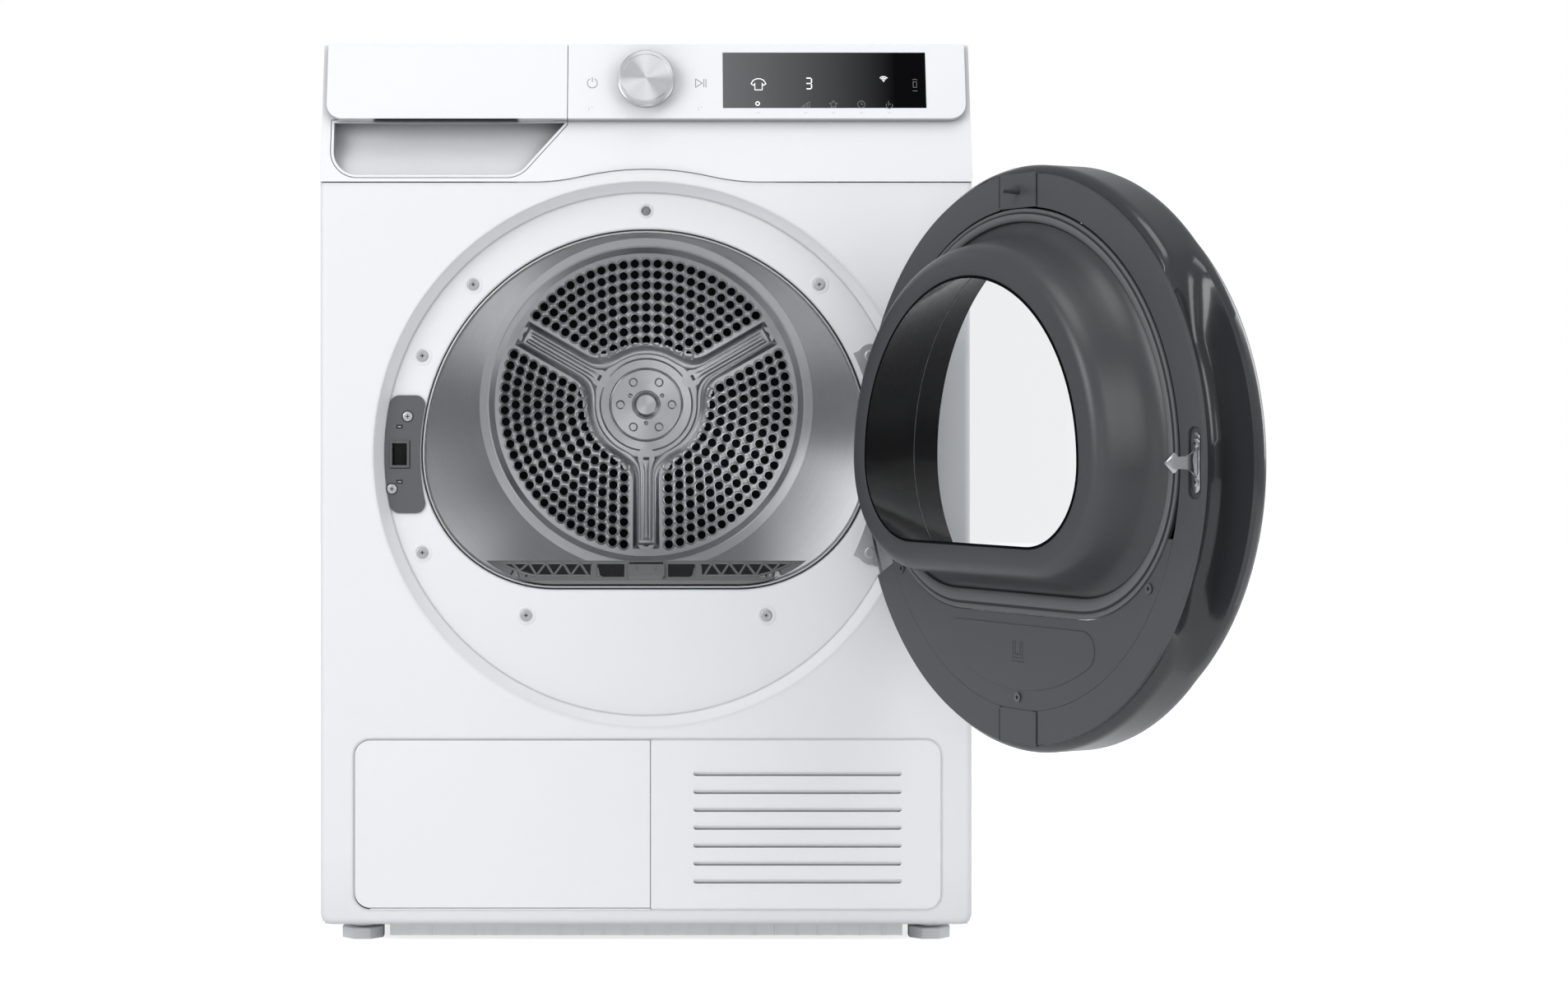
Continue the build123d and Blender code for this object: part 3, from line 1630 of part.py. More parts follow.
def make_access_cover():
    """The flush outer cover, hinged at its foot on two pins."""
    low = lower_bottom + 2 * cover_gap
    window = rounded(
        lower_left + cover_gap, lower_right, low, lower_top - cover_gap, lower_corner - cover_gap
    )
    left_part = window & (Pos(lower_split - 500, 0) * Rectangle(1000, 2000))
    cover = slab(left_part, 0, cover_thick)
    z = cover_pivot_height
    pin_half = lug_width / 2 + lug_side + 6
    for x in cover_lugs:
        for side in (-1, 1):
            near_x = x + side * (lug_width / 2 + lug_side)
            far_x = x + side * pin_half
            rib = block(
                min(near_x, far_x),
                max(near_x, far_x),
                cover_thick - 0.5,
                cover_pivot_depth + 3,
                z - 4,
                z + 4,
            )
            cover += rib
        cover += rod_x(cover_pivot_depth, z, cover_pin_radius, x - pin_half, x + pin_half)
    return cover


nodes["exchanger_cover"] = make_exchanger_cover()
nodes["lock_lever"] = make_lock_lever()
nodes["access_cover"] = make_access_cover()

# Lint filter
frame_border = 9.0
mesh_overlap = 2.0


truss_windows = 10
truss_start = 56.0
truss_pitch = 7.4
truss_half = 5.2


def make_filter_frame():
    """The filter's sloped top with triangular windows and a grip, and the frame of its screen."""
    near = filter_front + 6
    rise = (filter_top_back - filter_top_front) / (filter_back - filter_front)
    top_near = filter_top_front + 4
    top_far = top_near + rise * (filter_back - near)
    plate_thick = 4.0
    top = polygon(
        (filter_front, top_near),
        (near, top_near),
        (filter_back, top_far),
        (filter_back, top_far - plate_thick),
        (near, top_near - plate_thick),
        (filter_front, top_near - plate_thick),
    )
    mouth = slab(d_shape(opening_radius - 1.5, opening_flat - 1.5), 0, 80)
    frame = strip(top, -filter_half, filter_half) & mouth
    window_near = near + 6
    window_far = filter_back - 5
    for side in (-1, 1):
        for number in range(truss_windows):
            x = side * (truss_start + number * truss_pitch)
            tip = window_far if number % 2 else window_near
            foot = window_near if number % 2 else window_far
            hole = polygon((x - truss_half, foot), (x + truss_half, foot), (x, tip))
            frame -= cut_down(hole, 300, 400)
        slot = block_outline(20.5, 46, window_near, window_far)
        frame -= cut_down(slot if side > 0 else mirror(slot, about=Plane.YZ), 300, 400)
    grip_near = near + 1
    grip_far = filter_back - 8
    grip_rise = 3.0
    low_near = top_near + rise * (grip_near - near)
    low_far = top_near + rise * (grip_far - near)
    side_view = polygon(
        (grip_near, low_near - grip_rise),
        (grip_near, low_near + grip_rise),
        (grip_far, low_far + grip_rise),
        (grip_far, low_far - grip_rise),
    )
    grip = strip(side_view, -17, 17)
    frame += fillet(grip.edges().filter_by(Axis.Z), 3)
    frame += block(-blade_half, blade_half, blade_front, blade_back, blade_bottom, top_near + 1)
    inside = blade_half - frame_border
    high = top_near - 12
    frame -= block(-inside, inside, blade_front - 1, blade_back + 1, blade_bottom + frame_border, high)
    return frame - mesh_block(0.05)


def cut_down(sketch, low, high):
    """A sketch of x and depth made solid between two heights."""
    plane = Plane((0, behind(0), low))
    return extrude(plane * sketch, amount=high - low)


def mesh_block(grow):
    inside = blade_half - frame_border + mesh_overlap + grow
    middle = blade_front + blade_thick / 2
    half = mesh_thick / 2 + grow
    low = blade_bottom + frame_border - mesh_overlap - grow
    high = filter_top_front + 4 - 12 + mesh_overlap + grow
    return block(-inside, inside, middle - half, middle + half, low, high)


nodes["filter_frame"] = make_filter_frame()
nodes["filter_mesh"] = mesh_block(0)


os.makedirs("parts", exist_ok=True)
for node_name, shape in nodes.items():
    export_step(shape, f"parts/{node_name}.step")
print(len(nodes), "pieces")
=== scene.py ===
# %% [markdown]
# A front-loading clothes dryer with its door standing open.
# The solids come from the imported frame, so every size and place is already right.
# What is left for Blender is the look: enamel, moulded plastics, brushed steel, glass and printed marks.

import json
from math import atan2, cos, degrees, radians, sin, sqrt, tan

import bmesh
import bpy
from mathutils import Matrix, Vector


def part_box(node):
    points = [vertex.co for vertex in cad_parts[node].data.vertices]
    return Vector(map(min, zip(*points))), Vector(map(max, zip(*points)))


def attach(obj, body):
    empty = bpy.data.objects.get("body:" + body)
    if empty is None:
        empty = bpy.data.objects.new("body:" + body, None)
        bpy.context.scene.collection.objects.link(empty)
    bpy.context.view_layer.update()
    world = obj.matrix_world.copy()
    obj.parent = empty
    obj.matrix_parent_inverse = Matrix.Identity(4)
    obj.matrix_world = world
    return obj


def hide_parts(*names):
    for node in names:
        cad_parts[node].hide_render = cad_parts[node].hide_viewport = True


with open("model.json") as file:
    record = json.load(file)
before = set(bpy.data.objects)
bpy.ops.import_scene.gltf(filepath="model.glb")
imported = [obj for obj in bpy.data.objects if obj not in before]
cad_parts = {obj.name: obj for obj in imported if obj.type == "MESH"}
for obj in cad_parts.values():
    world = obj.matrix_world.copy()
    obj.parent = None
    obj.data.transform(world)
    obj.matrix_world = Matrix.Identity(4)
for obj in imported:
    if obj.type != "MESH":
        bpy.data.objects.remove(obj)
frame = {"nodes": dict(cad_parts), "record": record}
nodes = frame["nodes"]
subparts = frame["record"]["subparts"]
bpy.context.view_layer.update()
print("pieces in the frame:", len(nodes))

# %% [markdown]
# The camera stands 2.7 m before the dryer's face, at about half its height, and looks level, which keeps
# upright edges parallel. Lens shift then slides the frame, so that the open door has room on the right.

# %% Camera
image_width = 1906
focal_pixels = 3568.6
centre_right = 167.5
centre_down = -99.0
camera_place = (0.0, -3.0, 0.491)
studio = bpy.context.scene


def add_object(name, data):
    piece = bpy.data.objects.new(name, data)
    studio.collection.objects.link(piece)
    return piece


lens = bpy.data.cameras.new("front_camera")
lens.sensor_width = 36.0
lens.lens = focal_pixels / image_width * lens.sensor_width
lens.shift_x = centre_right / image_width
lens.shift_y = centre_down / image_width
camera = add_object("front_camera", lens)
camera.location = camera_place
camera.rotation_euler = (radians(90), 0, 0)
studio.camera = camera
studio.view_settings.view_transform = "Standard"
print("lens", round(lens.lens, 1), "mm")

# %% [markdown]
# A studio sweep is white where the camera sees it, but it must not flood the object with light.
# So the world asks what kind of ray arrives: the camera sees plain white, also through glass, and all else
# gets a calmer fill. Polished metal then mirrors a grey room with bright lamps in it.

# %% White surroundings
fill_strength = 0.42
fill_colour = (0.95, 0.97, 1.0, 1)
pure_white = (1, 1, 1, 1)


def set_inputs(node, *in_order, **by_name):
    """Fills inputs with constants or with other nodes' outputs. An underscore stands for a space."""
    named = {name.replace("_", " "): value for name, value in by_name.items()}
    for key, value in [*enumerate(in_order), *named.items()]:
        if isinstance(value, bpy.types.NodeSocket):
            node.id_data.links.new(value, node.inputs[key])
        else:
            node.inputs[key].default_value = value


def add_node(tree, kind, *in_order, **by_name):
    node = tree.nodes.new("ShaderNode" + kind)
    set_inputs(node, *in_order, **by_name)
    return node


def white_where_seen(tree):
    """The share of a ray that is seen directly or through glass."""
    path = add_node(tree, "LightPath").outputs
    either = add_node(tree, "Math", path["Is Camera Ray"], path["Is Transmission Ray"])
    either.operation = "MAXIMUM"
    return either.outputs[0]


world = bpy.data.worlds.new("studio")
studio.world = world
world.use_nodes = True
sky = world.node_tree
fill = sky.nodes["Background"]
set_inputs(fill, Color=fill_colour, Strength=fill_strength)
white = add_node(sky, "Background", Color=pure_white, Strength=1.0)
choose = add_node(sky, "MixShader", white_where_seen(sky), fill.outputs[0], white.outputs[0])
set_inputs(sky.nodes["World Output"], Surface=choose.outputs[0])
print("fill", fill_strength)

# %% [markdown]
# The floor is a wide pale sheet. A glow that only the camera sees lifts it to white, and the dryer's
# shadow still darkens the part that is lit by the lamps.

# %% Floor
floor_half = 8.0
floor_glow = 0.75
floor_colour = (0.9, 0.9, 0.91, 1)
floor_rough = 0.9
square = ((-1, -1), (1, -1), (1, 1), (-1, 1))


def new_material(name):
    material = bpy.data.materials.new(name)
    material.use_nodes = True
    return material, material.node_tree, material.node_tree.nodes["Principled BSDF"]


floor_mesh = bpy.data.meshes.new("studio_floor")
floor_mesh.from_pydata([(x * floor_half, y * floor_half, 0) for x, y in square], [], [(0, 1, 2, 3)])
floor = add_object("studio_floor", floor_mesh)
floor_paper, paper, paper_surface = new_material("floor_paper")
set_inputs(paper_surface, Base_Color=floor_colour, Roughness=floor_rough)
glow = add_node(paper, "Emission", Strength=floor_glow)
dark = add_node(paper, "Emission", Strength=0.0)
seen = add_node(paper, "MixShader", white_where_seen(paper), dark.outputs[0], glow.outputs[0])
both = add_node(paper, "AddShader", paper_surface.outputs[0], seen.outputs[0])
set_inputs(paper.nodes["Material Output"], Surface=both.outputs[0])
floor_mesh.materials.append(floor_paper)
print("floor", 2 * floor_half, "m wide")

# %% [markdown]
# Product light is broad and soft. A large lamp on the left models the cabinet, one overhead draws the
# highlights along the door's ring, and a weak one on the right keeps that side open. A small one looks
# into the drum, and one behind outlines the open door.

# %% Lamps
lamp_aim = Vector((0.05, -0.3, 0.45))


def soft_lamp(name, place, width, height, watts):
    data = bpy.data.lights.new(name, "AREA")
    data.shape = "RECTANGLE"
    data.size = width
    data.size_y = height
    data.energy = watts
    lamp = add_object(name, data)
    lamp.location = place
    lamp.rotation_euler = (lamp_aim - Vector(place)).to_track_quat("-Z", "Y").to_euler()


soft_lamp("left_lamp", (-2.2, -2.6, 1.9), 1.8, 1.8, 50)
soft_lamp("overhead_lamp", (0.3, -1.2, 2.9), 1.6, 1.2, 15)
soft_lamp("right_lamp", (2.2, -2.8, 1.6), 1.2, 1.6, 20)
soft_lamp("drum_lamp", (0.25, -3.3, 0.75), 0.5, 0.9, 3)
soft_lamp("rim_lamp", (2.4, 0.9, 1.2), 1.0, 1.6, 14)
print("lamps", len(bpy.data.lights))

# %% [markdown]
# Sprayed, moulded and rolled surfaces have a texture finer than a millimetre. A shared node group makes it
# from noise in the piece's own coordinates, so it stays put when the piece moves. It puts out a height for
# the bump and a value that varies the gloss.

# %% Fine grain, shared by the paints and plastics
noise_low = 0.3
noise_high = 0.7


def make_group(name, inputs, results):
    """A node group, the sockets that it is given and the node that takes its results."""
    group = bpy.data.node_groups.new(name, "ShaderNodeTree")
    new_socket = group.interface.new_socket
    for socket, value in inputs.items():
        kind = "NodeSocketVector" if socket == "Vector" else "NodeSocketFloat"
        new_socket(name=socket, in_out="INPUT", socket_type=kind).default_value = value
    for result in results:
        new_socket(name=result, in_out="OUTPUT", socket_type="NodeSocketFloat")
    return group, group.nodes.new("NodeGroupInput").outputs, group.nodes.new("NodeGroupOutput")


def spread_noise(group, noise, low, high):
    """Stretches the middle of a noise over a range."""
    spread = add_node(group, "MapRange", noise, noise_low, noise_high, low, high)
    return spread.outputs["Result"]


def own_place(tree):
    """A point's place in the piece's own coordinates."""
    return add_node(tree, "TexCoord").outputs["Object"]


grain_inputs = {"Grain Scale": 900.0, "Cloud Scale": 7.0, "Roughness Low": 0.3, "Roughness High": 0.4}
grain_group, given, result = make_group("fine_grain", grain_inputs, ("Height", "Roughness", "Cloud"))
place = own_place(grain_group)
grain = add_node(grain_group, "TexNoise", Vector=place, Scale=given["Grain Scale"], Detail=2.0)
cloud = add_node(grain_group, "TexNoise", Vector=place, Scale=given["Cloud Scale"], Detail=3.0).outputs["Fac"]
rough = spread_noise(grain_group, cloud, given["Roughness Low"], given["Roughness High"])
set_inputs(result, Height=grain.outputs["Fac"], Roughness=rough, Cloud=cloud)
print("group", grain_group.name)

# %% [markdown]
# Rolled or spun steel carries fine scratches in one direction, and noise squeezed hard along one axis looks
# like that. On a turned surface that axis is the angle round the centre, so the lines follow the circle.

# %% Brushed lines, shared by the metals
tint_low = 0.92
brush_inputs = {"Vector": (0, 0, 0), "Roughness Low": 0.2, "Roughness High": 0.4}
brush_group, given, result = make_group("brushed_lines", brush_inputs, ("Height", "Roughness", "Tint"))
noise = add_node(brush_group, "TexNoise", Vector=given["Vector"], Scale=1.0, Detail=4.0, Roughness=0.7)
fine = noise.outputs["Fac"]
rough = spread_noise(brush_group, fine, given["Roughness Low"], given["Roughness High"])
set_inputs(result, Height=fine, Roughness=rough, Tint=spread_noise(brush_group, fine, tint_low, 1.0))
print("group", brush_group.name)

# %% [markdown]
# Paints and plastics differ only in colour, gloss and grain, so one function makes them all. The grain goes
# through a Bump node, and the cloud varies the gloss a little, as handling does. A Bevel node rounds the
# edges that the solids leave sharp, and ambient occlusion paints shade into the colour in deep hollows.

# %% Paints and plastics
finishes = {}
edge_round = 0.0006
painted_shade_reach = 0.09
coat_rough = 0.05
grain_strength = 0.25


def add_texture(tree, group, rough_low, rough_high):
    texture = add_node(tree, "Group")
    texture.node_tree = group
    set_inputs(texture, Roughness_Low=rough_low, Roughness_High=rough_high)
    return texture


def tone(color, factor):
    return (*[min(1.0, c * factor) for c in color], 1)


def colour_mix(tree, factor, first, second):
    mix = add_node(tree, "Mix")
    mix.data_type = "RGBA"
    set_inputs(mix, Factor=factor, A=first, B=second)
    return mix.outputs["Result"]


def join_surface(surface, texture, colour, bump):
    """The links that every textured finish has."""
    set_inputs(bump, Height=texture.outputs["Height"])
    set_inputs(surface, Base_Color=colour, Roughness=texture.outputs["Roughness"], Normal=bump.outputs[0])


def grained(
    name, color, rough_low, rough_high, grain=900.0, depth=0.02,
    shade=0.04, painted_hollow_shade=0.0, edge=edge_round, **constants,
):
    """Makes a paint or a plastic. Other constants go to the shader's own inputs."""
    finishes[name], tree, surface = new_material(name)
    set_inputs(surface, Coat_Roughness=coat_rough, **constants)
    texture = add_texture(tree, grain_group, rough_low, rough_high)
    set_inputs(texture, Grain_Scale=grain)
    rounded = add_node(tree, "Bevel", Radius=edge).outputs[0]
    bump = add_node(tree, "Bump", Strength=grain_strength, Distance=depth / 1000, Normal=rounded)
    colour = colour_mix(tree, texture.outputs["Cloud"], tone(color, 1 - shade), tone(color, 1 + shade))
    # Painted shade: ambient occlusion darkens the colour where the surface lies in a hollow.
    if painted_hollow_shade:
        occlusion_shade = add_node(tree, "AmbientOcclusion", Distance=painted_shade_reach)
        occlusion_shade.samples = 8
        colour = colour_mix(tree, occlusion_shade.outputs["AO"], tone(color, 1 - painted_hollow_shade), colour)
    join_surface(surface, texture, colour, bump)


enamel = (0.83, 0.84, 0.86)
moulding = (0.85, 0.86, 0.88)
near_black = (0.012, 0.012, 0.013)
# The white paint and the fascia's white carry painted shade in their hollows.
grained("white_paint", enamel, 0.46, 0.47, 350, 0.03, 0.003, 0.2, 0.004, Specular_IOR_Level=0.35)
grained("white_plastic", moulding, 0.33, 0.35, 900, 0.015, shade=0.003)
grained("fascia_white", moulding, 0.33, 0.35, 900, 0.015, shade=0.003, painted_hollow_shade=0.85)
grained("door_grey", (0.07, 0.071, 0.076), 0.42, 0.5, 1200, 0.05, shade=0.06)
grained("bowl_grey", (0.054, 0.055, 0.059), 0.34, 0.42, 1500, 0.04, shade=0.05)
grained("rim_gloss", (0.03, 0.031, 0.034), 0.2, 0.26, 700, 0.006, Coat_Weight=0.3)
grained("black_gloss", (0.003, 0.003, 0.004), 0.12, 0.2, 500, 0.002, Specular_IOR_Level=0.02)
grained("seal_rubber", (0.13, 0.131, 0.137), 0.55, 0.65, 1500, 0.05)
grained("dark_rubber", near_black, 0.5, 0.65, 1500, 0.05)
grained("base_grey", (0.92, 0.93, 0.94), 0.4, 0.5, 1000, 0.04)
grained("filter_grey", (0.19, 0.192, 0.197), 0.4, 0.5, 1200, 0.04)
grained("catch_grey", (0.1, 0.102, 0.107), 0.42, 0.5, 1200, 0.04)
grained("felt", (0.42, 0.41, 0.39), 0.9, 0.98, 2500, 0.4, shade=0.15)
grained("motor_metal", (0.17, 0.175, 0.18), 0.45, 0.6, 500, 0.2, Metallic=0.6)
grained("compressor_black", near_black, 0.25, 0.4, 400, 0.05)
grained("board_green", (0.02, 0.14, 0.07), 0.35, 0.5, depth=0.05, shade=0.2)
grained("tank_clear", (0.66, 0.7, 0.73), 0.2, 0.3, 600)
grained("filter_mesh", (0.045, 0.045, 0.047), 0.6, 0.75, 3000, 0.3, shade=0.2)
# The duct's near-black is painted shade, seen through the drum's holes.
grained("duct_painted_shade", (0.02, 0.02, 0.021), 0.5, 0.6)
print("paints and plastics", len(finishes))

# %% [markdown]
# The drum, the hub and the knob are turned metal. Their reflections stretch across the brushing, which
# anisotropy does when its tangent runs round the axis. The lines come from the brushed group, with the
# angle round the axis as one coordinate.

# %% Turned metals
drum_axis = Vector((0, 0, 0.499))
line_strength = 0.3
quarter_turn = 0.25


def vector_math(tree, operation, *in_order):
    node = add_node(tree, "VectorMath", *in_order)
    node.operation = operation
    return node.outputs


def straight_lines(stretch):
    """Each axis with its own density of lines."""
    return lambda tree: vector_math(tree, "MULTIPLY", own_place(tree), stretch)[0]


def round_lines(centre, along, across):
    """Radius, angle and depth about a front-to-back axis, each with its own density of lines."""

    def coordinates(tree):
        shift = vector_math(tree, "SUBTRACT", own_place(tree), centre)[0]
        split = add_node(tree, "SeparateXYZ", shift).outputs
        angle = add_node(tree, "Math", split["X"], split["Z"])
        angle.operation = "ARCTAN2"
        flat = vector_math(tree, "MULTIPLY", shift, (1, 0, 1))[0]
        radius = vector_math(tree, "LENGTH", flat)["Value"]
        join = add_node(tree, "CombineXYZ", radius, angle.outputs[0], split["Y"])
        return vector_math(tree, "MULTIPLY", join.outputs[0], (across, along, across))[0]

    return coordinates


def brushed(name, color, rough_low, rough_high, coordinates, anisotropy=0.0, depth=0.01):
    finishes[name], tree, surface = new_material(name)
    lines = add_texture(tree, brush_group, rough_low, rough_high)
    set_inputs(lines, Vector=coordinates(tree))
    bump = add_node(tree, "Bump", Strength=line_strength, Distance=depth / 1000)
    colour = colour_mix(tree, lines.outputs["Tint"], (0, 0, 0, 1), (*color, 1))
    join_surface(surface, lines, colour, bump)
    set_inputs(surface, Metallic=1.0)
    if anisotropy:
        tangent = add_node(tree, "Tangent")
        tangent.direction_type = "RADIAL"
        tangent.axis = "Y"
        set_inputs(surface, Anisotropic=anisotropy, Anisotropic_Rotation=quarter_turn)
        set_inputs(surface, Tangent=tangent.outputs[0])


knob_low, knob_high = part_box("control_knob")
drum_lines = round_lines(drum_axis, 3.0, 900.0)
knob_lines = round_lines((knob_low + knob_high) / 2, 2.0, 2500.0)
even_lines = straight_lines((600, 600, 600))
brushed("drum_steel", (0.66, 0.665, 0.68), 0.28, 0.32, drum_lines, anisotropy=0.92, depth=0.001)
brushed("spun_aluminium", (0.84, 0.845, 0.855), 0.3, 0.34, knob_lines, anisotropy=0.85, depth=0.0004)
brushed("zinc_steel", (0.55, 0.56, 0.57), 0.35, 0.5, straight_lines((400, 400, 25)))
brushed("fin_aluminium", (0.62, 0.63, 0.64), 0.35, 0.5, straight_lines((900, 30, 900)))
brushed("bright_metal", (0.6, 0.61, 0.63), 0.14, 0.24, even_lines)
brushed("dark_metal", (0.2, 0.2, 0.207), 0.3, 0.4, even_lines)
# The lips' steel is brighter than the drum's, as a painted highlight.
brushed("lip_steel_highlight", (0.9, 0.905, 0.92), 0.3, 0.4, even_lines)
print("finishes with metals", len(finishes))

# %% [markdown]
# Glass is the plain shader with full transmission. The display's window is dark, and a painted reflection
# in its colour fades from grey on the left to black on the right.

# %% Glass and display window
glass_colour = (0.95, 0.965, 0.975, 1)
painted_reflection_grey = (0.14, 0.141, 0.146, 1)
window_black = (0.001, 0.001, 0.0015, 1)
fade_end = 0.85
finishes["clear_glass"], _, glass = new_material("clear_glass")
set_inputs(glass, Base_Color=glass_colour, Roughness=0.02, Transmission_Weight=1.0, IOR=1.45)

finishes["display_glass"], window, window_surface = new_material("display_glass")
display_low, display_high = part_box("display_window")
# Painted reflection: the window's colour fades from grey to black across it.
window_place = add_node(window, "SeparateXYZ", own_place(window)).outputs
fade = add_node(window, "MapRange", window_place["X"], display_low.x, display_high.x)
painted_reflection = add_node(window, "ValToRGB", fade.outputs["Result"])
stops = painted_reflection.color_ramp.elements
stops[0].color = painted_reflection_grey
stops[1].color = window_black
stops[1].position = fade_end
set_inputs(window_surface, Base_Color=painted_reflection.outputs["Color"], Roughness=0.12, Specular_IOR_Level=0.08)
print("finishes", len(finishes))

# %% [markdown]
# Each piece of the frame names its finish, so one loop hands the materials out. Four pieces then get
# their own: the fascia's three get painted shade in deep hollows, and the duct behind the drum's holes is
# near-black, which paints the shade seen through them.

# %% Dress the frame


def dress(piece, finish):
    if not piece.material_slots:
        piece.data.materials.append(finish)
    for place in piece.material_slots:
        place.material = finish


for entry in subparts:
    dress(nodes[entry["node"]], finishes[entry["material_slot"]])
for name in ("control_panel", "drawer_front", "tank_housing"):
    dress(nodes[name], finishes["fascia_white"])
dress(nodes["rear_duct"], finishes["duct_painted_shade"])
print("dressed", len(subparts))

# %% [markdown]
# The panel's signs are printed, about a tenth of a millimetre proud. Each is made of lines with a width,
# like pen strokes, and has a thin side wall. That stays sharp at any distance, as an image would not.

# %% A pen for printed signs
front_plane = -0.3
fascia_foot = 702.0
fascia_tilt = radians(16)
fascia_out = Vector((0, -cos(fascia_tilt), sin(fascia_tilt)))
print_sunk = 0.00005
print_proud = 0.0001
sharpest_mitre = 0.35
smooth_angle = radians(35)


def on_cabinet(x, z, depth):
    """A point in metres, for millimetres across, up and behind the front plane."""
    return Vector((x / 1000, front_plane + depth / 1000, z / 1000))


def on_fascia(x, z, skin_height):
    """A point of the sloped panel, for millimetres across and up, and metres above its base plane."""
    return on_cabinet(x, z, (z - fascia_foot) * tan(fascia_tilt)) + fascia_out * skin_height


def polar(x, z, radius, turn):
    """A point at a distance from x, z, with the turn in degrees."""
    return (x + radius * cos(radians(turn)), z + radius * sin(radians(turn)))


def arc(x, z, radius, start, end, steps=20):
    return [polar(x, z, radius, start + (end - start) * i / steps) for i in range(steps + 1)]


def box_outline(x, z, half_wide, half_tall):
    return [(x + half_wide * a, z + half_tall * b) for a, b in square]


def line(x, z, end_x, end_z, width):
    """A straight stroke: its path, its width, and that it is not closed."""
    return ([(x, z), (end_x, end_z)], width, False)


def stroke_sides(path, width, closed):
    """The left and right edge of a line, with mitred corners."""
    spots = [Vector(spot) for spot in path]
    left = []
    right = []
    for i, here in enumerate(spots):
        steps = []
        if i or closed:
            steps.append(here - spots[i - 1])
        if i + 1 < len(spots) or closed:
            steps.append(spots[(i + 1) % len(spots)] - here)
        normals = [Vector((-step.y, step.x)).normalized() for step in steps]
        mean = sum(normals, Vector((0, 0))).normalized()
        reach = width / 2 / max(sharpest_mitre, mean.dot(normals[0]))
        left.append(here + mean * reach)
        right.append(here - mean * reach)
    return left, right


def skin(net, rows, closed=False):
    """Joins neighbouring rings of points with faces. Closed also joins the last ring to the first."""
    for near, far in zip(rows, rows[1:] + rows[:1] if closed else rows[1:]):
        for k in range(len(near)):
            j = (k + 1) % len(near)
            net.faces.new((near[k], near[j], far[j], far[k]))


def add_stroke(net, path, width, closed, place, base, lift=1.0):
    """Draws a line on a surface at the height base. place(x, z, height) puts its points."""
    rows = []
    top = base + lift * print_proud
    foot = base - lift * print_sunk
    for a, b in zip(*stroke_sides(path, width, closed)):
        corners = ((a, top), (b, top), (b, foot), (a, foot))
        rows.append([net.verts.new(place(side.x, side.y, height)) for side, height in corners])
    skin(net, rows, closed)
    if not closed:
        net.faces.new(rows[0])
        net.faces.new(rows[-1][::-1])


def add_piece(name, net, finish, body, slot=None, smooth=False):
    """Makes a piece of a net. The slot argument is not used."""
    bmesh.ops.recalc_face_normals(net, faces=net.faces)
    mesh = bpy.data.meshes.new(name)
    net.to_mesh(mesh)
    net.free()
    mesh.materials.append(finishes[finish])
    piece = add_object(name, mesh)
    if smooth:
        mesh.shade_smooth()
        mesh.set_sharp_from_angle(angle=smooth_angle)
    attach(piece, body)
    slot = slot or finish
    return piece


def printed(name, strokes, skin_height, finish):
    net = bmesh.new()
    for stroke in strokes:
        add_stroke(net, *stroke, on_fascia, skin_height)
    add_piece(name, net, finish, "cabinet")


print("the pen is ready")

# %% [markdown]
# Ink on the white panel is a flat grey. The window's signs are lit from behind by plain Emission: four are
# on, and five are off and barely show.

# %% Ink and lit signs
panel_skin = 0.0073
window_skin = 0.0075
ink_rough = 0.5


def ink(name, color, glow_strength=0.0):
    finishes[name], _, surface = new_material(name)
    set_inputs(surface, Base_Color=(*color, 1), Roughness=ink_rough)
    set_inputs(surface, Emission_Color=fill_colour, Emission_Strength=glow_strength)


ink("grey_ink", (0.2, 0.2, 0.21))
ink("pale_ink", (0.6, 0.61, 0.63))
ink("lit_sign", (0.6, 0.6, 0.6), 0.75)
ink("dim_sign", (0.16, 0.16, 0.165), 0.05)
# Near-black for real slots and seams, and for the sheets that paint shade in hollows.
ink("dark_slot_and_shade", near_black)
print("inks 5")

# %% [markdown]
# Beside the knob stand a power sign and a start sign, with three small pale marks below each.
# All of them are a few strokes of the pen.

# %% Signs beside the knob
power_x, play_x, sign_z = -49.9, 50.7, 793.7
sign_line = 0.55
play_half = 3.9
small_z = 769.4
power = [(arc(power_x, sign_z, 4.6, 120, 420), sign_line, False)]
power.append(line(power_x, sign_z + 1.2, power_x, sign_z + 5.6, sign_line))
printed("power_sign", power, panel_skin, "grey_ink")

triangle = [(play_x - 4.9, sign_z + play_half), (play_x + 1.2, sign_z), (play_x - 4.9, sign_z - play_half)]
play = [(triangle, sign_line, True)]
for bar in (2.7, 4.6):
    play.append(line(play_x + bar, sign_z + play_half, play_x + bar, sign_z - play_half, sign_line))
printed("start_sign", play, panel_skin, "grey_ink")

for side, x in (("left", -51.3), ("right", 49.8)):
    dots = []
    for across, up in ((-1.6, 0.8), (-1.6, -1.2), (1.2, 1.4)):
        dots.append(line(x + across - 0.5, small_z + up, x + across + 0.5, small_z + up, 0.6))
    printed("small_sign_" + side, dots, panel_skin, "pale_ink")
print("signs beside the knob")

# %% [markdown]
# A digit of straight bars, a garment, a ring and a signal are lit. The unlit signs stand for dryness,
# favourites, time and remote start. They are generic, and a programme's name is left out.

# %% Signs in the window
sign_row = 773.3
dim_line = 0.45
digit_x, digit_low, digit_tall, digit_wide = 150.5, 788.2, 10.2, 5.2


def in_window(name, strokes, finish="lit_sign"):
    printed(name, strokes, window_skin, finish)


left, right = digit_x - digit_wide / 2, digit_x + digit_wide / 2
levels = [digit_low + digit_tall * level / 2 for level in range(3)]
digit = [line(left + 0.5, z, right - 0.5, z, 1.0) for z in levels]
digit += [line(right, z + 0.5, right, z + digit_tall / 2 - 0.5, 1.0) for z in levels[:2]]
in_window("digit_sign", digit)

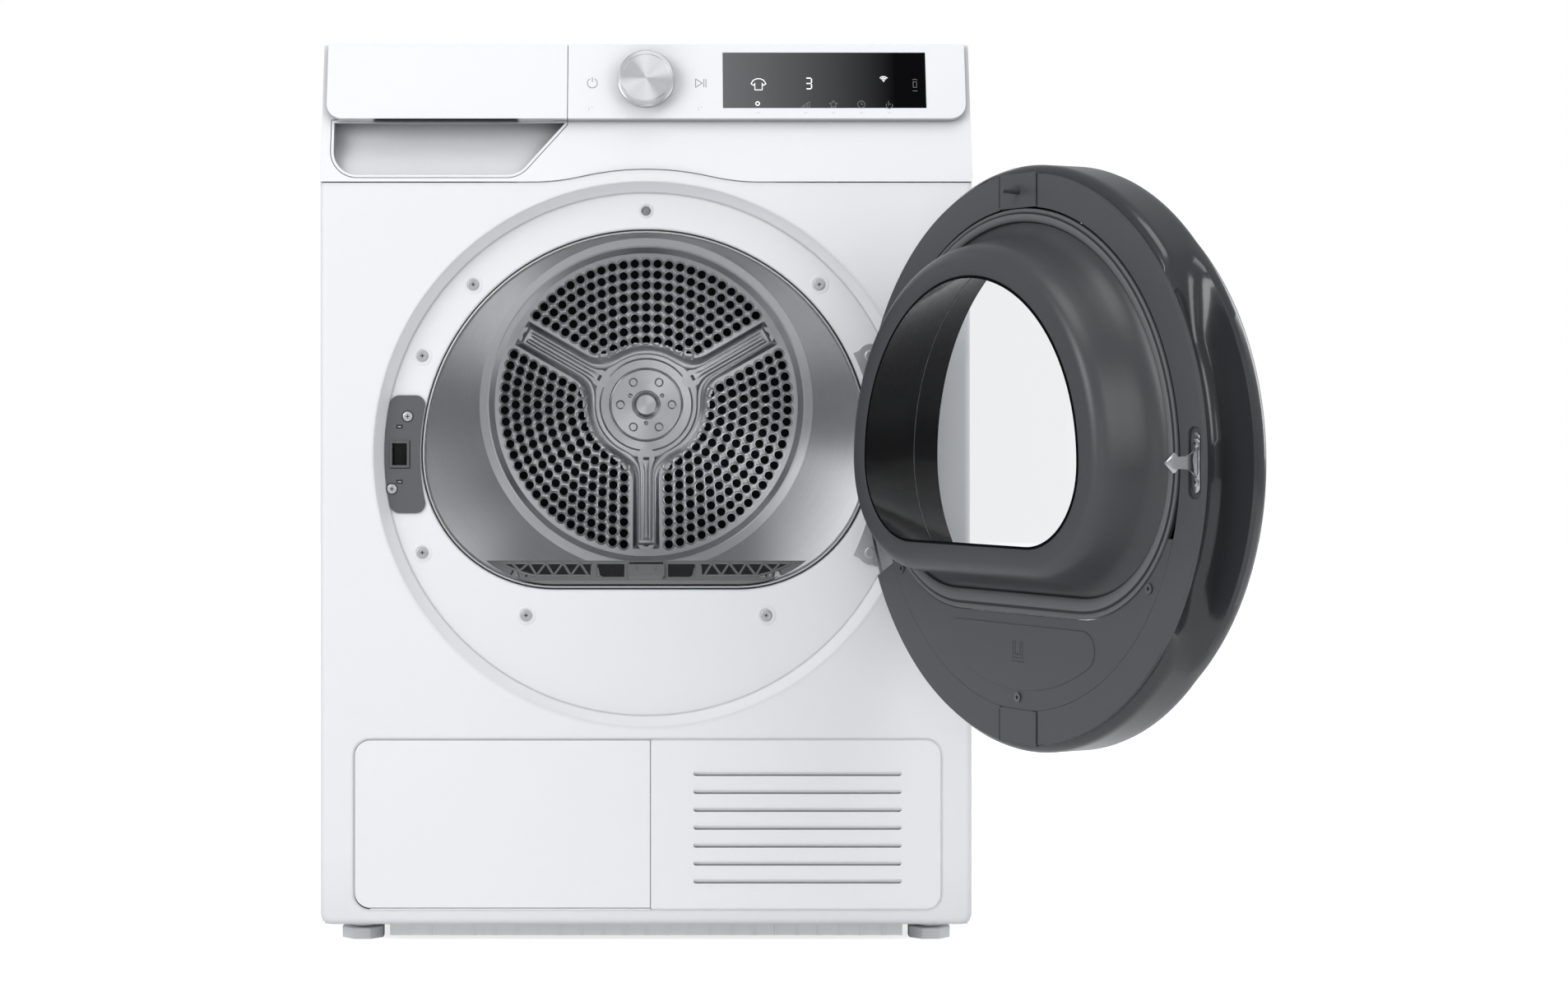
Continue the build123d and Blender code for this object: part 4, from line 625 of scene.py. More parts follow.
shirt_x, shirt_z = 104.0, 792.6
shirt_half = [(1.9, 5.2), (5.0, 3.6), (6.9, 0.4), (4.6, -1.1), (3.4, 0.6), (3.4, -5.4)]
shirt = [(shirt_x + x, shirt_z + z) for x, z in shirt_half]
shirt += [(shirt_x - x, shirt_z + z) for x, z in reversed(shirt_half)]
in_window("garment_sign", [(shirt, 0.7, True)])
in_window("ring_sign", [(arc(103.0, 774.1, 1.7, 0, 342, 19), 0.9, True)])

wifi_x, wifi_z = 219.9, 795.0
waves = [(arc(wifi_x, wifi_z, r, 45, 135, 8), 0.75, False) for r in (1.9, 3.4, 4.9)]
waves.append(line(wifi_x - 0.5, wifi_z + 0.3, wifi_x + 0.5, wifi_z + 0.3, 0.9))
in_window("signal_sign", waves)

wedge_x, wedge_z, wedge_slope = 143.5, 770.9, 0.66
wedge = [([(wedge_x, wedge_z), (151.0, wedge_z), (151.0, 776.0)], dim_line, True)]
for x in (146.5, 148.8):
    wedge.append(line(x, wedge_z, x, wedge_z + (x - wedge_x) * wedge_slope, dim_line))
in_window("level_sign", wedge, "dim_sign")

star_x = 173.0
star = [polar(star_x, sign_row, 2.0 if i % 2 else 3.7, 90 + 36 * i) for i in range(10)]
in_window("favourite_sign", [(star, dim_line, True)], "dim_sign")

clock_x = 198.8
clock = [(arc(clock_x, sign_row, 3.3, 0, 345, 23), dim_line, True)]
clock.append(([(clock_x, sign_row + 2.1), (clock_x, sign_row), (200.6, sign_row)], dim_line, False))
in_window("clock_sign", clock, "dim_sign")

hand_x = 224.7
hand = [(arc(hand_x, sign_row - 0.8, 2.9, 150, 380), dim_line, False)]
hand.append(line(224.0, sign_row - 1.0, 224.0, sign_row + 3.4, dim_line))
hand.append(line(225.6, sign_row - 0.4, 225.6, sign_row + 1.0, dim_line))
in_window("hand_sign", hand, "dim_sign")

remote = [(box_outline(248.8, 792.25, 1.6, 2.65), 0.4, True)]
remote.append((arc(248.8, 794.0, 3.4, 50, 130, 8), 0.4, False))
remote.append(line(246.6, 786.2, 251.0, 786.2, 0.5))
in_window("remote_sign", remote, "dim_sign")

dash_z = 765.5
dashes = [line(x - 1.6, dash_z, x + 1.6, dash_z, 0.35) for x in (103.7, 147.1, star_x, clock_x, hand_x)]
printed("window_dashes", dashes, panel_skin, "pale_ink")
print("signs in the window")

# %% [markdown]
# The drum's back is punched from behind, and every hole keeps a rolled lip that catches the light. The lips'
# steel is brighter than the drum's own, which paints part of that highlight.
# A lip is half a torus: a helper spins a short profile about a front-to-back axis. All of them are one
# mesh, because they are one sheet on the real drum.

# %% Rolled lips of the drum holes
hub_up = 499
hole_radius = 4.9
lip_radius = 1.2
lip_steps = 16
lip_turns = 4
back_face = 497.0
outer_row = 154.0
row_pitch = 11.9
hole_pitch = 12.42
hole_rows = 8
outer_holes = 11
spoke_turns = (30, 150, 270)


def add_lathe(net, x, z, profile, base, steps=32, place=on_cabinet):
    """Spins (radius, depth from base) pairs, in millimetres, about a front-to-back axis through x, z."""
    rings = []
    for radius, depth in profile:
        circle = arc(x, z, radius, 0, 360, steps)[:-1]
        rings.append([net.verts.new(place(a, b, base + depth)) for a, b in circle])
    skin(net, rings)


lip = arc(hole_radius + 0.6 * lip_radius, 0, lip_radius, 180, 360, lip_turns)
holes = []
for spoke in spoke_turns:
    for row in range(hole_rows):
        radius = outer_row - row_pitch * row
        step = degrees(hole_pitch / radius)
        for number in range(row - outer_holes, outer_holes + 1 - row):
            holes.append(polar(0, hub_up, radius, spoke + 60 + step * number))
net = bmesh.new()
for x, z in holes:
    add_lathe(net, x, z, lip, back_face, lip_steps)
add_piece("drum_hole_lips", net, "lip_steel_highlight", "drum", "bright_metal", smooth=True)
print("hole lips", len(holes))

# %% [markdown]
# A pressed star stiffens the drum's back: three arms run into a ring round the hub, and a bead follows the
# outline. A height field makes this well: the distance to the outline is a simple formula, a smooth minimum
# rounds the inner corners, and a profile turns distance into height.

# %% Pressed star of the drum's back
star_arm_half = 16.0
star_ring = 66.0
star_reach = 158.0
star_blend = 22.0
star_rise = 3.9
star_cell = 1.5
star_sunk = 0.3
star_hub = 36.5
star_skirt = 3.0
bead_fall = 0.62


def star_distance(x, z):
    """Millimetres to the star's outline, negative inside it."""
    near = sqrt(x * x + z * z) - star_ring
    for turn in spoke_turns:
        run, rise = polar(0, 0, 1, turn)
        along = x * run + z * rise
        across = abs(z * run - x * rise)
        arm = max(across - star_arm_half, along - star_reach, -along)
        mix = max(star_blend - abs(near - arm), 0.0) / star_blend
        near = min(near, arm) - mix * mix * star_blend / 4
    return near


def ease(value, start, end):
    t = min(1.0, max(0.0, (value - start) / (end - start)))
    return t * t * (3 - 2 * t)


net = bmesh.new()
count = int(star_reach / star_cell) + 2
spots = {}
for i in range(-count, count + 1):
    for k in range(-count, count + 1):
        x = i * star_cell
        z = k * star_cell
        inside = -star_distance(x, z)
        if inside > -star_skirt and x * x + z * z > star_hub**2:
            bead = ease(inside, 0.0, 7.5) - bead_fall * ease(inside, 9.5, 14.5)
            height = (star_rise + star_sunk) * bead - star_sunk
            spots[i, k] = net.verts.new(on_cabinet(x, hub_up + z, back_face - height))
for i, k in list(spots):
    corners = [(i, k), (i + 1, k), (i + 1, k + 1), (i, k + 1)]
    if all(c in spots for c in corners):
        net.faces.new([spots[c] for c in corners])
add_piece("drum_star", net, "drum_steel", "drum", smooth=True)
print("star points", len(spots))

# %% [markdown]
# Six screws with dished washers hold the hub plate, and a raised collar stands round the centre.
# They are turned shapes too, so the helper that made the lips spins their profiles.

# %% The hub's collar and washers
hub_near = 494.0
washer_circle, rivet_circle = 28, 20
collar = [(15.8, 0.2), (15.4, -1.3), (14.6, -1.8), (13.6, -1.5)]
hub_rim = [(40.6, 3.2), (40.2, -0.6), (39.2, -1.2), (38.0, -0.6), (37.6, 0.2)]
washer = [(5.0, 0.1), (4.7, -0.9), (4.0, -1.1), (3.3, -0.6)]
rivet = [(2.4, 0.1), (2.0, -0.7), (1.0, -1.0), (0.05, -1.05)]


def add_on_hub(net, turn, reach, profile, steps):
    add_lathe(net, *polar(0, hub_up, reach, turn), profile, hub_near, steps)


net = bmesh.new()
add_on_hub(net, 0, 0, collar, 48)
add_on_hub(net, 0, 0, hub_rim, 64)
for turn in range(0, 360, 60):
    add_on_hub(net, turn, washer_circle, washer, 24)
for turn in spoke_turns:
    add_on_hub(net, turn, rivet_circle, rivet, 16)
add_piece("hub_collar_and_washers", net, "drum_steel", "drum", smooth=True)
print("hub detail made")

# %% [markdown]
# Everything on the door is drawn closed and then swung about the hinge, as the real door is. The window,
# the bowl and the seal share one outline, a circle with a level chord below and wide corners, and a
# cross-section carried round it gives each of them a smooth skin.

# %% The door's outline and swing
door_middle = 452.0
door_angle = radians(119)
hinge_line = (230.0, -22.0)
outline_ease = 2.0
round_steps, corner_steps, chord_steps = 60, 20, 8


def on_door(x, z, depth):
    """A point of the open door, for millimetres across, up and behind the front plane when it is closed."""
    across = x - hinge_line[0]
    deep = depth - hinge_line[1]
    swung_x = hinge_line[0] + across * cos(door_angle) - deep * sin(door_angle)
    swung_depth = hinge_line[1] + across * sin(door_angle) + deep * cos(door_angle)
    return on_cabinet(swung_x, z, swung_depth)


def door_outline(radius, flat):
    """Points of the rounded D, with the same count for every size, so that sizes can be joined."""
    corner = flat - outline_ease
    corner_x = sqrt((radius - corner) ** 2 - outline_ease**2)
    lean = degrees(atan2(outline_ease, corner_x))
    points = arc(0, 0, radius, -lean, 180 + lean, round_steps)
    points += arc(-corner_x, -outline_ease, corner, 180 + lean, 270, corner_steps)[1:]
    points += [(-corner_x + 2 * corner_x * i / chord_steps, -flat) for i in range(1, chord_steps)]
    return points + arc(corner_x, -outline_ease, corner, 270, 360 - lean, corner_steps)[:-1]


def carry_round(net, profile, closed=True, place=on_door):
    """Joins D outlines given as (radius, flat, depth)."""
    loops = []
    for radius, flat, depth in profile:
        outline = door_outline(radius, flat)
        loops.append([net.verts.new(place(x, door_middle + z, depth)) for x, z in outline])
    skin(net, loops, closed)


def smooth_path(points, steps):
    """A curve through the points, with each stretch cut into steps."""
    path = []
    last = len(points) - 1
    for i in range(last):
        before, start, end, after = [Vector(points[min(max(0, n), last)]) for n in range(i - 1, i + 3)]
        for k in range(steps):
            t = k / steps
            curve = 2 * start + (end - before) * t
            curve += (2 * before - 5 * start + 4 * end - after) * t * t
            curve += (3 * start - before - 3 * end + after) * t**3
            path.append(tuple(curve / 2))
    path.append(tuple(points[-1]))
    return path


print("outline points", len(door_outline(171, 90)))

# %% [markdown]
# The bowl fills the drum's mouth and keeps the washing off the glass. Its flank swells in one soft curve
# from the lip to the seat of the seal, and the lip turns in to the black funnel.

# %% The bowl
bowl_foot = [(209.4, 129.9, 9.0), (209.4, 129.9, 12.0)]
bowl_curve = [(197.0, 111.0, 12.0), (193.5, 108.0, 14.2), (189.6, 105.0, 18.5), (186.0, 102.0, 25.0)]
bowl_curve += [(182.8, 99.3, 36.0), (180.4, 97.6, 47.0), (178.0, 96.0, 56.0), (174.3, 93.0, 62.2)]
bowl_curve += [(169.3, 88.2, 65.4), (163.5, 82.6, 66.0), (157.0, 76.4, 66.0), (152.4, 71.8, 65.6)]
bowl_in = [(153.0, 72.6, 62.0), (174.0, 92.5, 52.0), (180.0, 96.0, 30.0)]
bowl_in += [(190.0, 104.0, 12.5), (190.0, 104.0, 9.0)]
net = bmesh.new()
carry_round(net, bowl_foot + smooth_path(bowl_curve, 4) + bowl_in)
bowl = add_piece("bowl_moulding", net, "bowl_grey", "door", smooth=True)
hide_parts("door_bowl")
print("bowl made")

# %% [markdown]
# The seal is soft grey rubber: a hollow bead that meets the cabinet, and a flat foot outside it.
# Two dark grooves part the bead from the bowl and from its foot.

# %% The seal
seal_curve = [(198.0, 112.0, 12.0), (198.4, 112.6, 13.4), (200.0, 115.2, 14.6), (202.4, 119.0, 14.75)]
seal_curve += [(204.6, 122.5, 14.2), (205.6, 124.1, 13.2), (206.6, 125.7, 13.3), (208.2, 128.2, 13.6)]
seal_curve += [(208.9, 129.3, 12.9), (209.0, 129.5, 12.0)]
grooves = [[(197.5, 111.3, 12.8), (197.9, 111.9, 13.1), (198.4, 112.6, 13.55)]]
grooves += [[(204.9, 123.0, 14.15), (205.6, 124.1, 13.45), (206.4, 125.4, 13.4)]]
net = bmesh.new()
carry_round(net, smooth_path(seal_curve, 3))
seal = add_piece("seal_bead", net, "seal_rubber", "door", smooth=True)
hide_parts("door_seal")
net = bmesh.new()
for groove in grooves:
    carry_round(net, groove, False)
add_piece("seal_grooves", net, "dark_rubber", "door", smooth=True)
print("seal made")

# %% [markdown]
# A thin bead runs round the black funnel where its two mouldings meet. The funnel is a cone between two
# D outlines, so a share of the way between them gives the bead's place.

# %% Bead in the funnel
funnel_wide = (196.5, 132.0, -41.0)
funnel_narrow = (150.0, 69.5, 66.0)
bead_profile = [(0.325, -0.2), (0.328, 0.5), (0.334, 0.5), (0.337, -0.2)]


def between(start, end, share):
    return [a + (b - a) * share for a, b in zip(start, end)]


def in_funnel(share, rise):
    radius, flat, depth = between(funnel_wide, funnel_narrow, share)
    return (radius - rise, flat - rise, depth)


net = bmesh.new()
carry_round(net, [in_funnel(share, rise) for share, rise in bead_profile], False)
add_piece("funnel_bead", net, "door_grey", "door", "black_gloss", smooth=True)
print("bead made")

# %% [markdown]
# The door's outer ring is a glossy dark moulding with a domed edge. On the latch side it is scooped out
# behind its lip, so that fingers can pull it. The cross-section changes on its way round, from a plain rim
# to a hollow, and an ease between them gives the soft S-shaped ends.

# %% The outer ring and its grip
ring_plain = [(239.2, 8.0), (242.5, 6.4), (244.9, 4.0)]
ring_plain += [(246.0, depth) for depth in (1.0, -4.0, -9.0, -14.0, -19.0, -22.0, -24.5, -28.0, -33.0)]
ring_grip = [(238.8, 8.0), (234.0, 6.6), (228.0, 3.0), (223.6, -2.0), (221.4, -7.5), (222.0, -13.0)]
ring_grip += [(226.0, -18.0), (233.0, -21.6), (240.5, -23.2), (246.2, -24.2), (247.6, -27.6), (246.4, -33.0)]
ring_dome = [(245.2, -36.0), (242.6, -39.2), (238.4, -41.8), (233.0, -43.8)]
ring_dome += [(226.0, -45.1), (215.0, -45.8), (199.0, -46.0)]
ring_inner = [(199.0, -41.2), (212.0, -40.6), (214.5, -36.0), (215.5, -20.0), (215.5, 3.0), (217.0, 7.4)]
grip_full, grip_end = 24.0, 43.0
bulge_centre, bulge_radius, bulge_end = 27.8, 227.2, 60
rim_radius = 246.0
slot_half_angle = 13.0
ring_rows = 220


def ring_section(turn):
    """The ring's cross-section at an angle from the latch, in degrees."""
    grip = 1 - ease(abs(turn), grip_full, grip_end)
    bulge = 0.0
    if abs(turn) < bulge_end:
        across, up = polar(0, 0, bulge_centre, turn)
        bulge = max(0.0, across + sqrt(bulge_radius**2 - up**2) - rim_radius)
    section = []
    for plain, scooped in zip(ring_plain, ring_grip):
        radius, depth = between(plain, scooped, grip)
        section.append((radius + bulge * ease(-depth, 17.0, 25.0), depth))
    section += [(radius + bulge * ease(radius, 215.0, 243.0), depth) for radius, depth in ring_dome]
    return section + ring_inner


net = bmesh.new()
rows = []
for i in range(ring_rows + 1):
    turn = (180 - slot_half_angle) * (2 * i / ring_rows - 1)
    row = []
    for radius, depth in ring_section(turn):
        row.append(net.verts.new(on_door(*polar(0, door_middle, radius, 180 - turn), depth)))
    rows.append(row)
skin(net, rows)
net.faces.new(rows[0])
net.faces.new(rows[-1][::-1])
ring = add_piece("outer_ring_moulding", net, "rim_gloss", "door", smooth=True)
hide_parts("door_outer_ring")
print("ring rows", ring_rows)

# %% [markdown]
# The hook is a plated stamping: a plate with round ends, two screws, and a tongue with a barbed tip that
# the catch grips. An outline is pushed to a thickness and its edges are broken a little, because it is
# the broken edge that shines.

# %% The hook
latch_across = -228.0
hook_seat = 9.0
hook_front = 11.0
hook_wide, hook_tall = 5.0, 23.5
hook_screws = (-15, 15)
plate_bevel, tongue_bevel = 0.4, 0.45
tongue_thick = 1.6
tongue_half = [(10.5, 12.0), (12.5, 8.4), (16.5, 5.6), (22.0, 4.4), (29.5, 4.2)]
tongue_half += [(31.5, 7.6), (33.5, 7.9), (37.0, 4.6), (40.6, 1.2)]
dome = [(3.9, -0.1), (3.7, 0.6), (2.8, 0.85), (1.4, 0.9), (0.05, 0.9)]


def add_plate(net, outline, place, low, high, bevel=0):
    """A flat plate from an outline. place(a, b, c) puts its two outline axes and its thickness axis."""
    start = [net.verts.new(place(a, b, low)) for a, b in outline]
    end = [net.verts.new(place(a, b, high)) for a, b in outline]
    caps = [net.faces.new(start), net.faces.new(end[::-1])]
    for i in range(len(outline)):
        j = (i + 1) % len(outline)
        net.faces.new((start[i], end[i], end[j], start[j]))
    if bevel:
        rims = [edge for cap in caps for edge in cap.edges]
        bmesh.ops.bevel(net, geom=rims, offset=bevel / 1000, segments=2, affect="EDGES", profile=0.5)


def round_ends(x, z, half_wide, half_tall, steps=10):
    straight = half_tall - half_wide
    top = arc(x, z + straight, half_wide, 0, 180, steps)
    return top + arc(x, z - straight, half_wide, 180, 360, steps)


def along_tongue(a, b, c):
    return on_door(latch_across + c, door_middle + b, a)


tongue = tongue_half + [(a, -b) for a, b in reversed(tongue_half)]
net = bmesh.new()
hook_plate = round_ends(latch_across, door_middle, hook_wide, hook_tall)
add_plate(net, hook_plate, on_door, hook_seat, hook_front, plate_bevel)
add_plate(net, tongue, along_tongue, -tongue_thick, tongue_thick, tongue_bevel)
for up in hook_screws:
    add_lathe(net, latch_across, door_middle + up, dome, hook_front, 24, on_door)
hook = add_piece("hook_stamping", net, "bright_metal", "door", smooth=True)
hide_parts("latch_hook")
print("hook made")

# %% [markdown]
# A cross slot tells the eye that a round dot is a screw. Each is a small dark plus in the head. The screws
# of the cabinet sit in shallow white bosses, and the hole of the door switch has a white rim too.

# %% Screw slots and bosses
slot_half = 1.7
slot_arm = 0.42
recess_floor = 15.0
screw_skin = recess_floor - 0.9
floor_screws = [(side * x, door_middle + up) for side in (-1, 1) for x, up in ((160, 157), (111, -149))]
floor_screws += [(-207, door_middle + 91), (-207, door_middle - 91)]
catch_screws = [(-220.5, door_middle + 35), (-235, door_middle - 32)]
catch_slot_near, catch_slot_far = 12.06, 12.3
switch_up = door_middle + 225
boss_profile = [(9.4, 0.1), (8.4, -0.55), (7.2, -0.7), (6.2, -0.4), (5.5, 0.1)]
bezel_profile = [(6.8, 0.1), (6.4, -0.5), (5.6, -0.8), (4.9, -0.5), (4.45, 0.4)]

plus = []
for turn in range(4):
    for a, b in ((slot_half, slot_arm), (slot_arm, slot_arm), (slot_arm, slot_half)):
        for _ in range(turn):
            a, b = -b, a
        plus.append((a, b))


def add_plus(net, x, z, place, low, high, size=1.0):
    add_plate(net, [(x + size * a, z + size * b) for a, b in plus], place, low, high)


slots = bmesh.new()
bosses = bmesh.new()
for x, z in floor_screws:
    add_plus(slots, x, z, on_cabinet, screw_skin - 0.12, screw_skin + 0.1)
    add_lathe(bosses, x, z, boss_profile, recess_floor)
for x, z in catch_screws:
    add_plus(slots, x, z, on_cabinet, catch_slot_near, catch_slot_far)
add_lathe(bosses, 0, switch_up, bezel_profile, recess_floor)
add_piece("floor_screw_slots", slots, "dark_slot_and_shade", "cabinet")
add_piece("floor_screw_bosses", bosses, "white_paint", "cabinet", smooth=True)
print("screws", len(floor_screws) + len(catch_screws))

# %% [markdown]
# Behind that rim a pale shutter closes the bore, and the door's pin pushes at it. The bore is lined in
# the same grey, because a dark hole there would look like a missing screw.

# %% Shutter of the door switch
shutter = [(4.42, 0.6), (4.42, 15.9), (3.6, 15.4), (2.2, 15.1), (0.05, 15.0)]
net = bmesh.new()
add_lathe(net, 0, switch_up, shutter, recess_floor)
add_piece("switch_shutter", net, "base_grey", "cabinet", smooth=True)
print("shutter made")

# %% [markdown]
# Above the finger scoop the drawer's face ends in a chin, and a thin dark plate under it paints the shade
# of the slot for the fingertips.

# %% Painted shade of the drawer's grip slot
chin_height = 760.0
grip_slot_shade = box_outline(-185.0, 19.5, 66.5, 11.5)
slot_sunk, slot_proud, slot_bevel = -0.4, 0.1, 0.15


def under_chin(a, b, c):
    return on_cabinet(a, chin_height + c, b)


net = bmesh.new()
add_plate(net, grip_slot_shade, under_chin, slot_sunk, slot_proud, slot_bevel)
add_piece("drawer_grip_slot_shade", net, "dark_slot_and_shade", "water_drawer")
print("grip slot made")

# %% [markdown]
# The door's own screws get the same dark plus. Three hold the inner frame and two hold the hook.

# %% Slots of the door's screws
frame_screw_turns = (-90, -30, -150)
frame_screw_circle = 200
frame_screw_skin = 12.75
hook_screw_skin = 11.9
small_plus = 0.8
net = bmesh.new()
for turn in frame_screw_turns:
    x, z = polar(0, door_middle, frame_screw_circle, turn)
    add_plus(net, x, z, on_door, frame_screw_skin - 0.15, frame_screw_skin + 0.1, small_plus)
for up in hook_screws:
    add_plus(net, latch_across, door_middle + up, on_door, hook_screw_skin - 0.1, hook_screw_skin + 0.1)
add_piece("door_screw_slots", net, "dark_slot_and_shade", "door")
print("door screws", len(frame_screw_turns) + len(hook_screws))

# %% [markdown]
# The catch plate is a grey moulding with two bright screws in dark wells, and two small slots.
# The hook's hole has a raised frame, which throws a thin shadow to the right and below.

# %% Screws and marks of the catch plate
catch_face = 13.4
catch_slot_up = 25.5
well_half = (2.9, 1.7)
well_floor = 14.1
key_half = (1.5, 0.5)
frame_half_wide, frame_half_tall = 9.6, 12.9
shadow_short = 1
shadow_wide, shadow_lift = 0.8, -500
head_profile = [(4.45, -0.2), (4.4, -0.9), (4.1, -1.08), (3.2, -1.2), (2.0, -1.26), (0.05, -1.28)]
well_profile = [(5.5, 0.02), (5.4, -0.07), (4.1, -0.07)]


bright = bmesh.new()
marks = bmesh.new()
for x, z in catch_screws:
    add_lathe(bright, x, z, head_profile, catch_face)
    add_lathe(marks, x, z, well_profile, catch_face)
for side in (-1, 1):
    z = door_middle + side * catch_slot_up
    add_plate(marks, box_outline(latch_across, z, *well_half), on_cabinet, catch_face + 0.1, well_floor)
    add_plate(bright, box_outline(latch_across, z, *key_half), on_cabinet, catch_face, catch_face + 0.15)
shadow = box_outline(latch_across, door_middle, frame_half_wide, frame_half_tall)[2::-1]
shadow[2] = (shadow[2][0] + shadow_short, shadow[2][1])
add_stroke(marks, shadow, shadow_wide, False, on_cabinet, catch_face, shadow_lift)
add_piece("catch_screw_heads", bright, "zinc_steel", "cabinet", smooth=True)
add_piece("catch_marks", marks, "dark_slot_and_shade", "cabinet")
print("catch screws", len(catch_screws))

# %% [markdown]
# Behind the gasket the mouth's sheet is folded forward, so a thin steel edge shows inside the black line.
# It follows the same D as the door's bowl, at the cabinet's place.

# %% Folded edge of the mouth
mouth_radius = 205.0
mouth_flat = 122.0
fold_profile = [(0.0, 14.7), (0.05, 14.45), (0.4, 14.3), (1.1, 14.3), (1.45, 14.45), (1.5, 14.7)]
fold = [(mouth_radius + out, mouth_flat + out, depth) for out, depth in fold_profile]
net = bmesh.new()
carry_round(net, fold, False, on_cabinet)
add_piece("mouth_fold", net, "zinc_steel", "cabinet", smooth=True)
print("fold made")

# %% [markdown]
# A cover that opens needs a gap. On the real panel a small white step stands in it, so it reads as a soft
# grey line. The step is a narrow strip just behind the front face, and wider below, where the cover's foot
# needs more room to swing.

# %% Step round the access cover
cover_left, cover_right = -269.0, 4.5
cover_low, cover_high = 33.0, 190.0
cover_corner = 15.0
step_wide = 0.6
step_foot = 1.4
step_depth = 0.65
step_bite = 0.03
step_lift = -2000
inset = step_wide / 2 - step_bite
corner_x = cover_left + cover_corner
step_path = arc(corner_x, cover_low + cover_corner, cover_corner - inset, 270, 180)
step_path += arc(corner_x, cover_high - cover_corner, cover_corner - inset, 180, 90)
step_path += [(cover_right - inset, cover_high - inset), (cover_right - inset, cover_low)]
foot_line = cover_low + step_foot / 2 - step_bite
net = bmesh.new()
foot = line(corner_x, foot_line, cover_right, foot_line, step_foot)
for stroke in ((step_path, step_wide, False), foot):
    add_stroke(net, *stroke, on_cabinet, step_depth, step_lift)
add_piece("cover_step", net, "white_plastic", "cabinet")
print("step made")

# %% [markdown]
# The lint filter lies along the lower edge of the mouth. Its sloping top is a truss of thin ribs. Under
# them, in a window on each side of the grip and in the grip, near-black sheets paint the shade of the
# hollows. A rib is a flat bar between two points, so the zigzag needs only its corner points.

# %% Truss of the lint filter
slope_start = 24.0
slope_low = 335.0
slope_rise = 0.452
rib_half = 1.1
rib_top = 1.3
rib_bevel = 0.25
truss_low, truss_high = 31.0, 54.0
truss_first, truss_bend = 54.0, 104
truss_step, truss_corners = 8.0, 10
bend_slope = 0.62
shade_sheet_sunk, shade_sheet_proud = -0.5, 0.3
grip_top = 3.0
mark_half = 0.5
window_outline = [(20.5, 30), (39, 30), (43, 34), (45.5, 53), (20.5, 53)]
grip_mark = [(-9, 44), (-9, 37), (-7, 34.5), (7, 34.5), (9, 37), (9, 44)]
grip_shade_sheet = box_outline(0, 49.25, 16, 1.75)


def on_filter(a, b, c):
    """Across, depth from the front and height above the filter's slope, in millimetres."""
    return on_cabinet(a, slope_low + slope_rise * (b - slope_start) + c, b)


def add_bars(net, path, half, low, high):
    for ends in zip(path, path[1:]):
        left, right = stroke_sides(ends, 2 * half, False)
        add_plate(net, left + right[::-1], on_filter, low, high, rib_bevel)


low_rail = [(truss_first - 2, truss_low), (truss_bend, truss_low), (118, 38), (134, 51)]
high_rail = [(truss_first - 2, truss_high), (135, truss_high)]
zigzag = []
for number in range(truss_corners):
    x = truss_first + truss_step * number
    floor_line = truss_low if x < truss_bend else truss_low + (x - truss_bend) * bend_slope
    zigzag.append((x, truss_high if number % 2 else floor_line))
ribs = bmesh.new()
# Painted shade: near-black sheets in the truss's hollow, its windows and the grip.
shade_sheets = bmesh.new()
for side in (-1, 1):
    for path in (low_rail, high_rail, zigzag):
        add_bars(ribs, [(side * a, b) for a, b in path], rib_half, 0.0, rib_top)
    for outline in (low_rail + high_rail[::-1], window_outline):
        add_plate(shade_sheets, [(side * a, b) for a, b in outline], on_filter, shade_sheet_sunk, shade_sheet_proud)
add_bars(ribs, grip_mark, mark_half, grip_top - 0.2, grip_top + 0.5)
add_plate(shade_sheets, grip_shade_sheet, on_filter, grip_top - 0.3, grip_top + 0.2)
add_piece("filter_truss", ribs, "filter_grey", "lint_filter")
add_piece("filter_shade_sheets", shade_sheets, "dark_slot_and_shade", "lint_filter")
print("truss corners", len(zigzag))

# %% [markdown]
# The raised field on the door carries a small moulded sign for the lint filter: a frame standing in its
# slot. The same pen draws it, only higher.

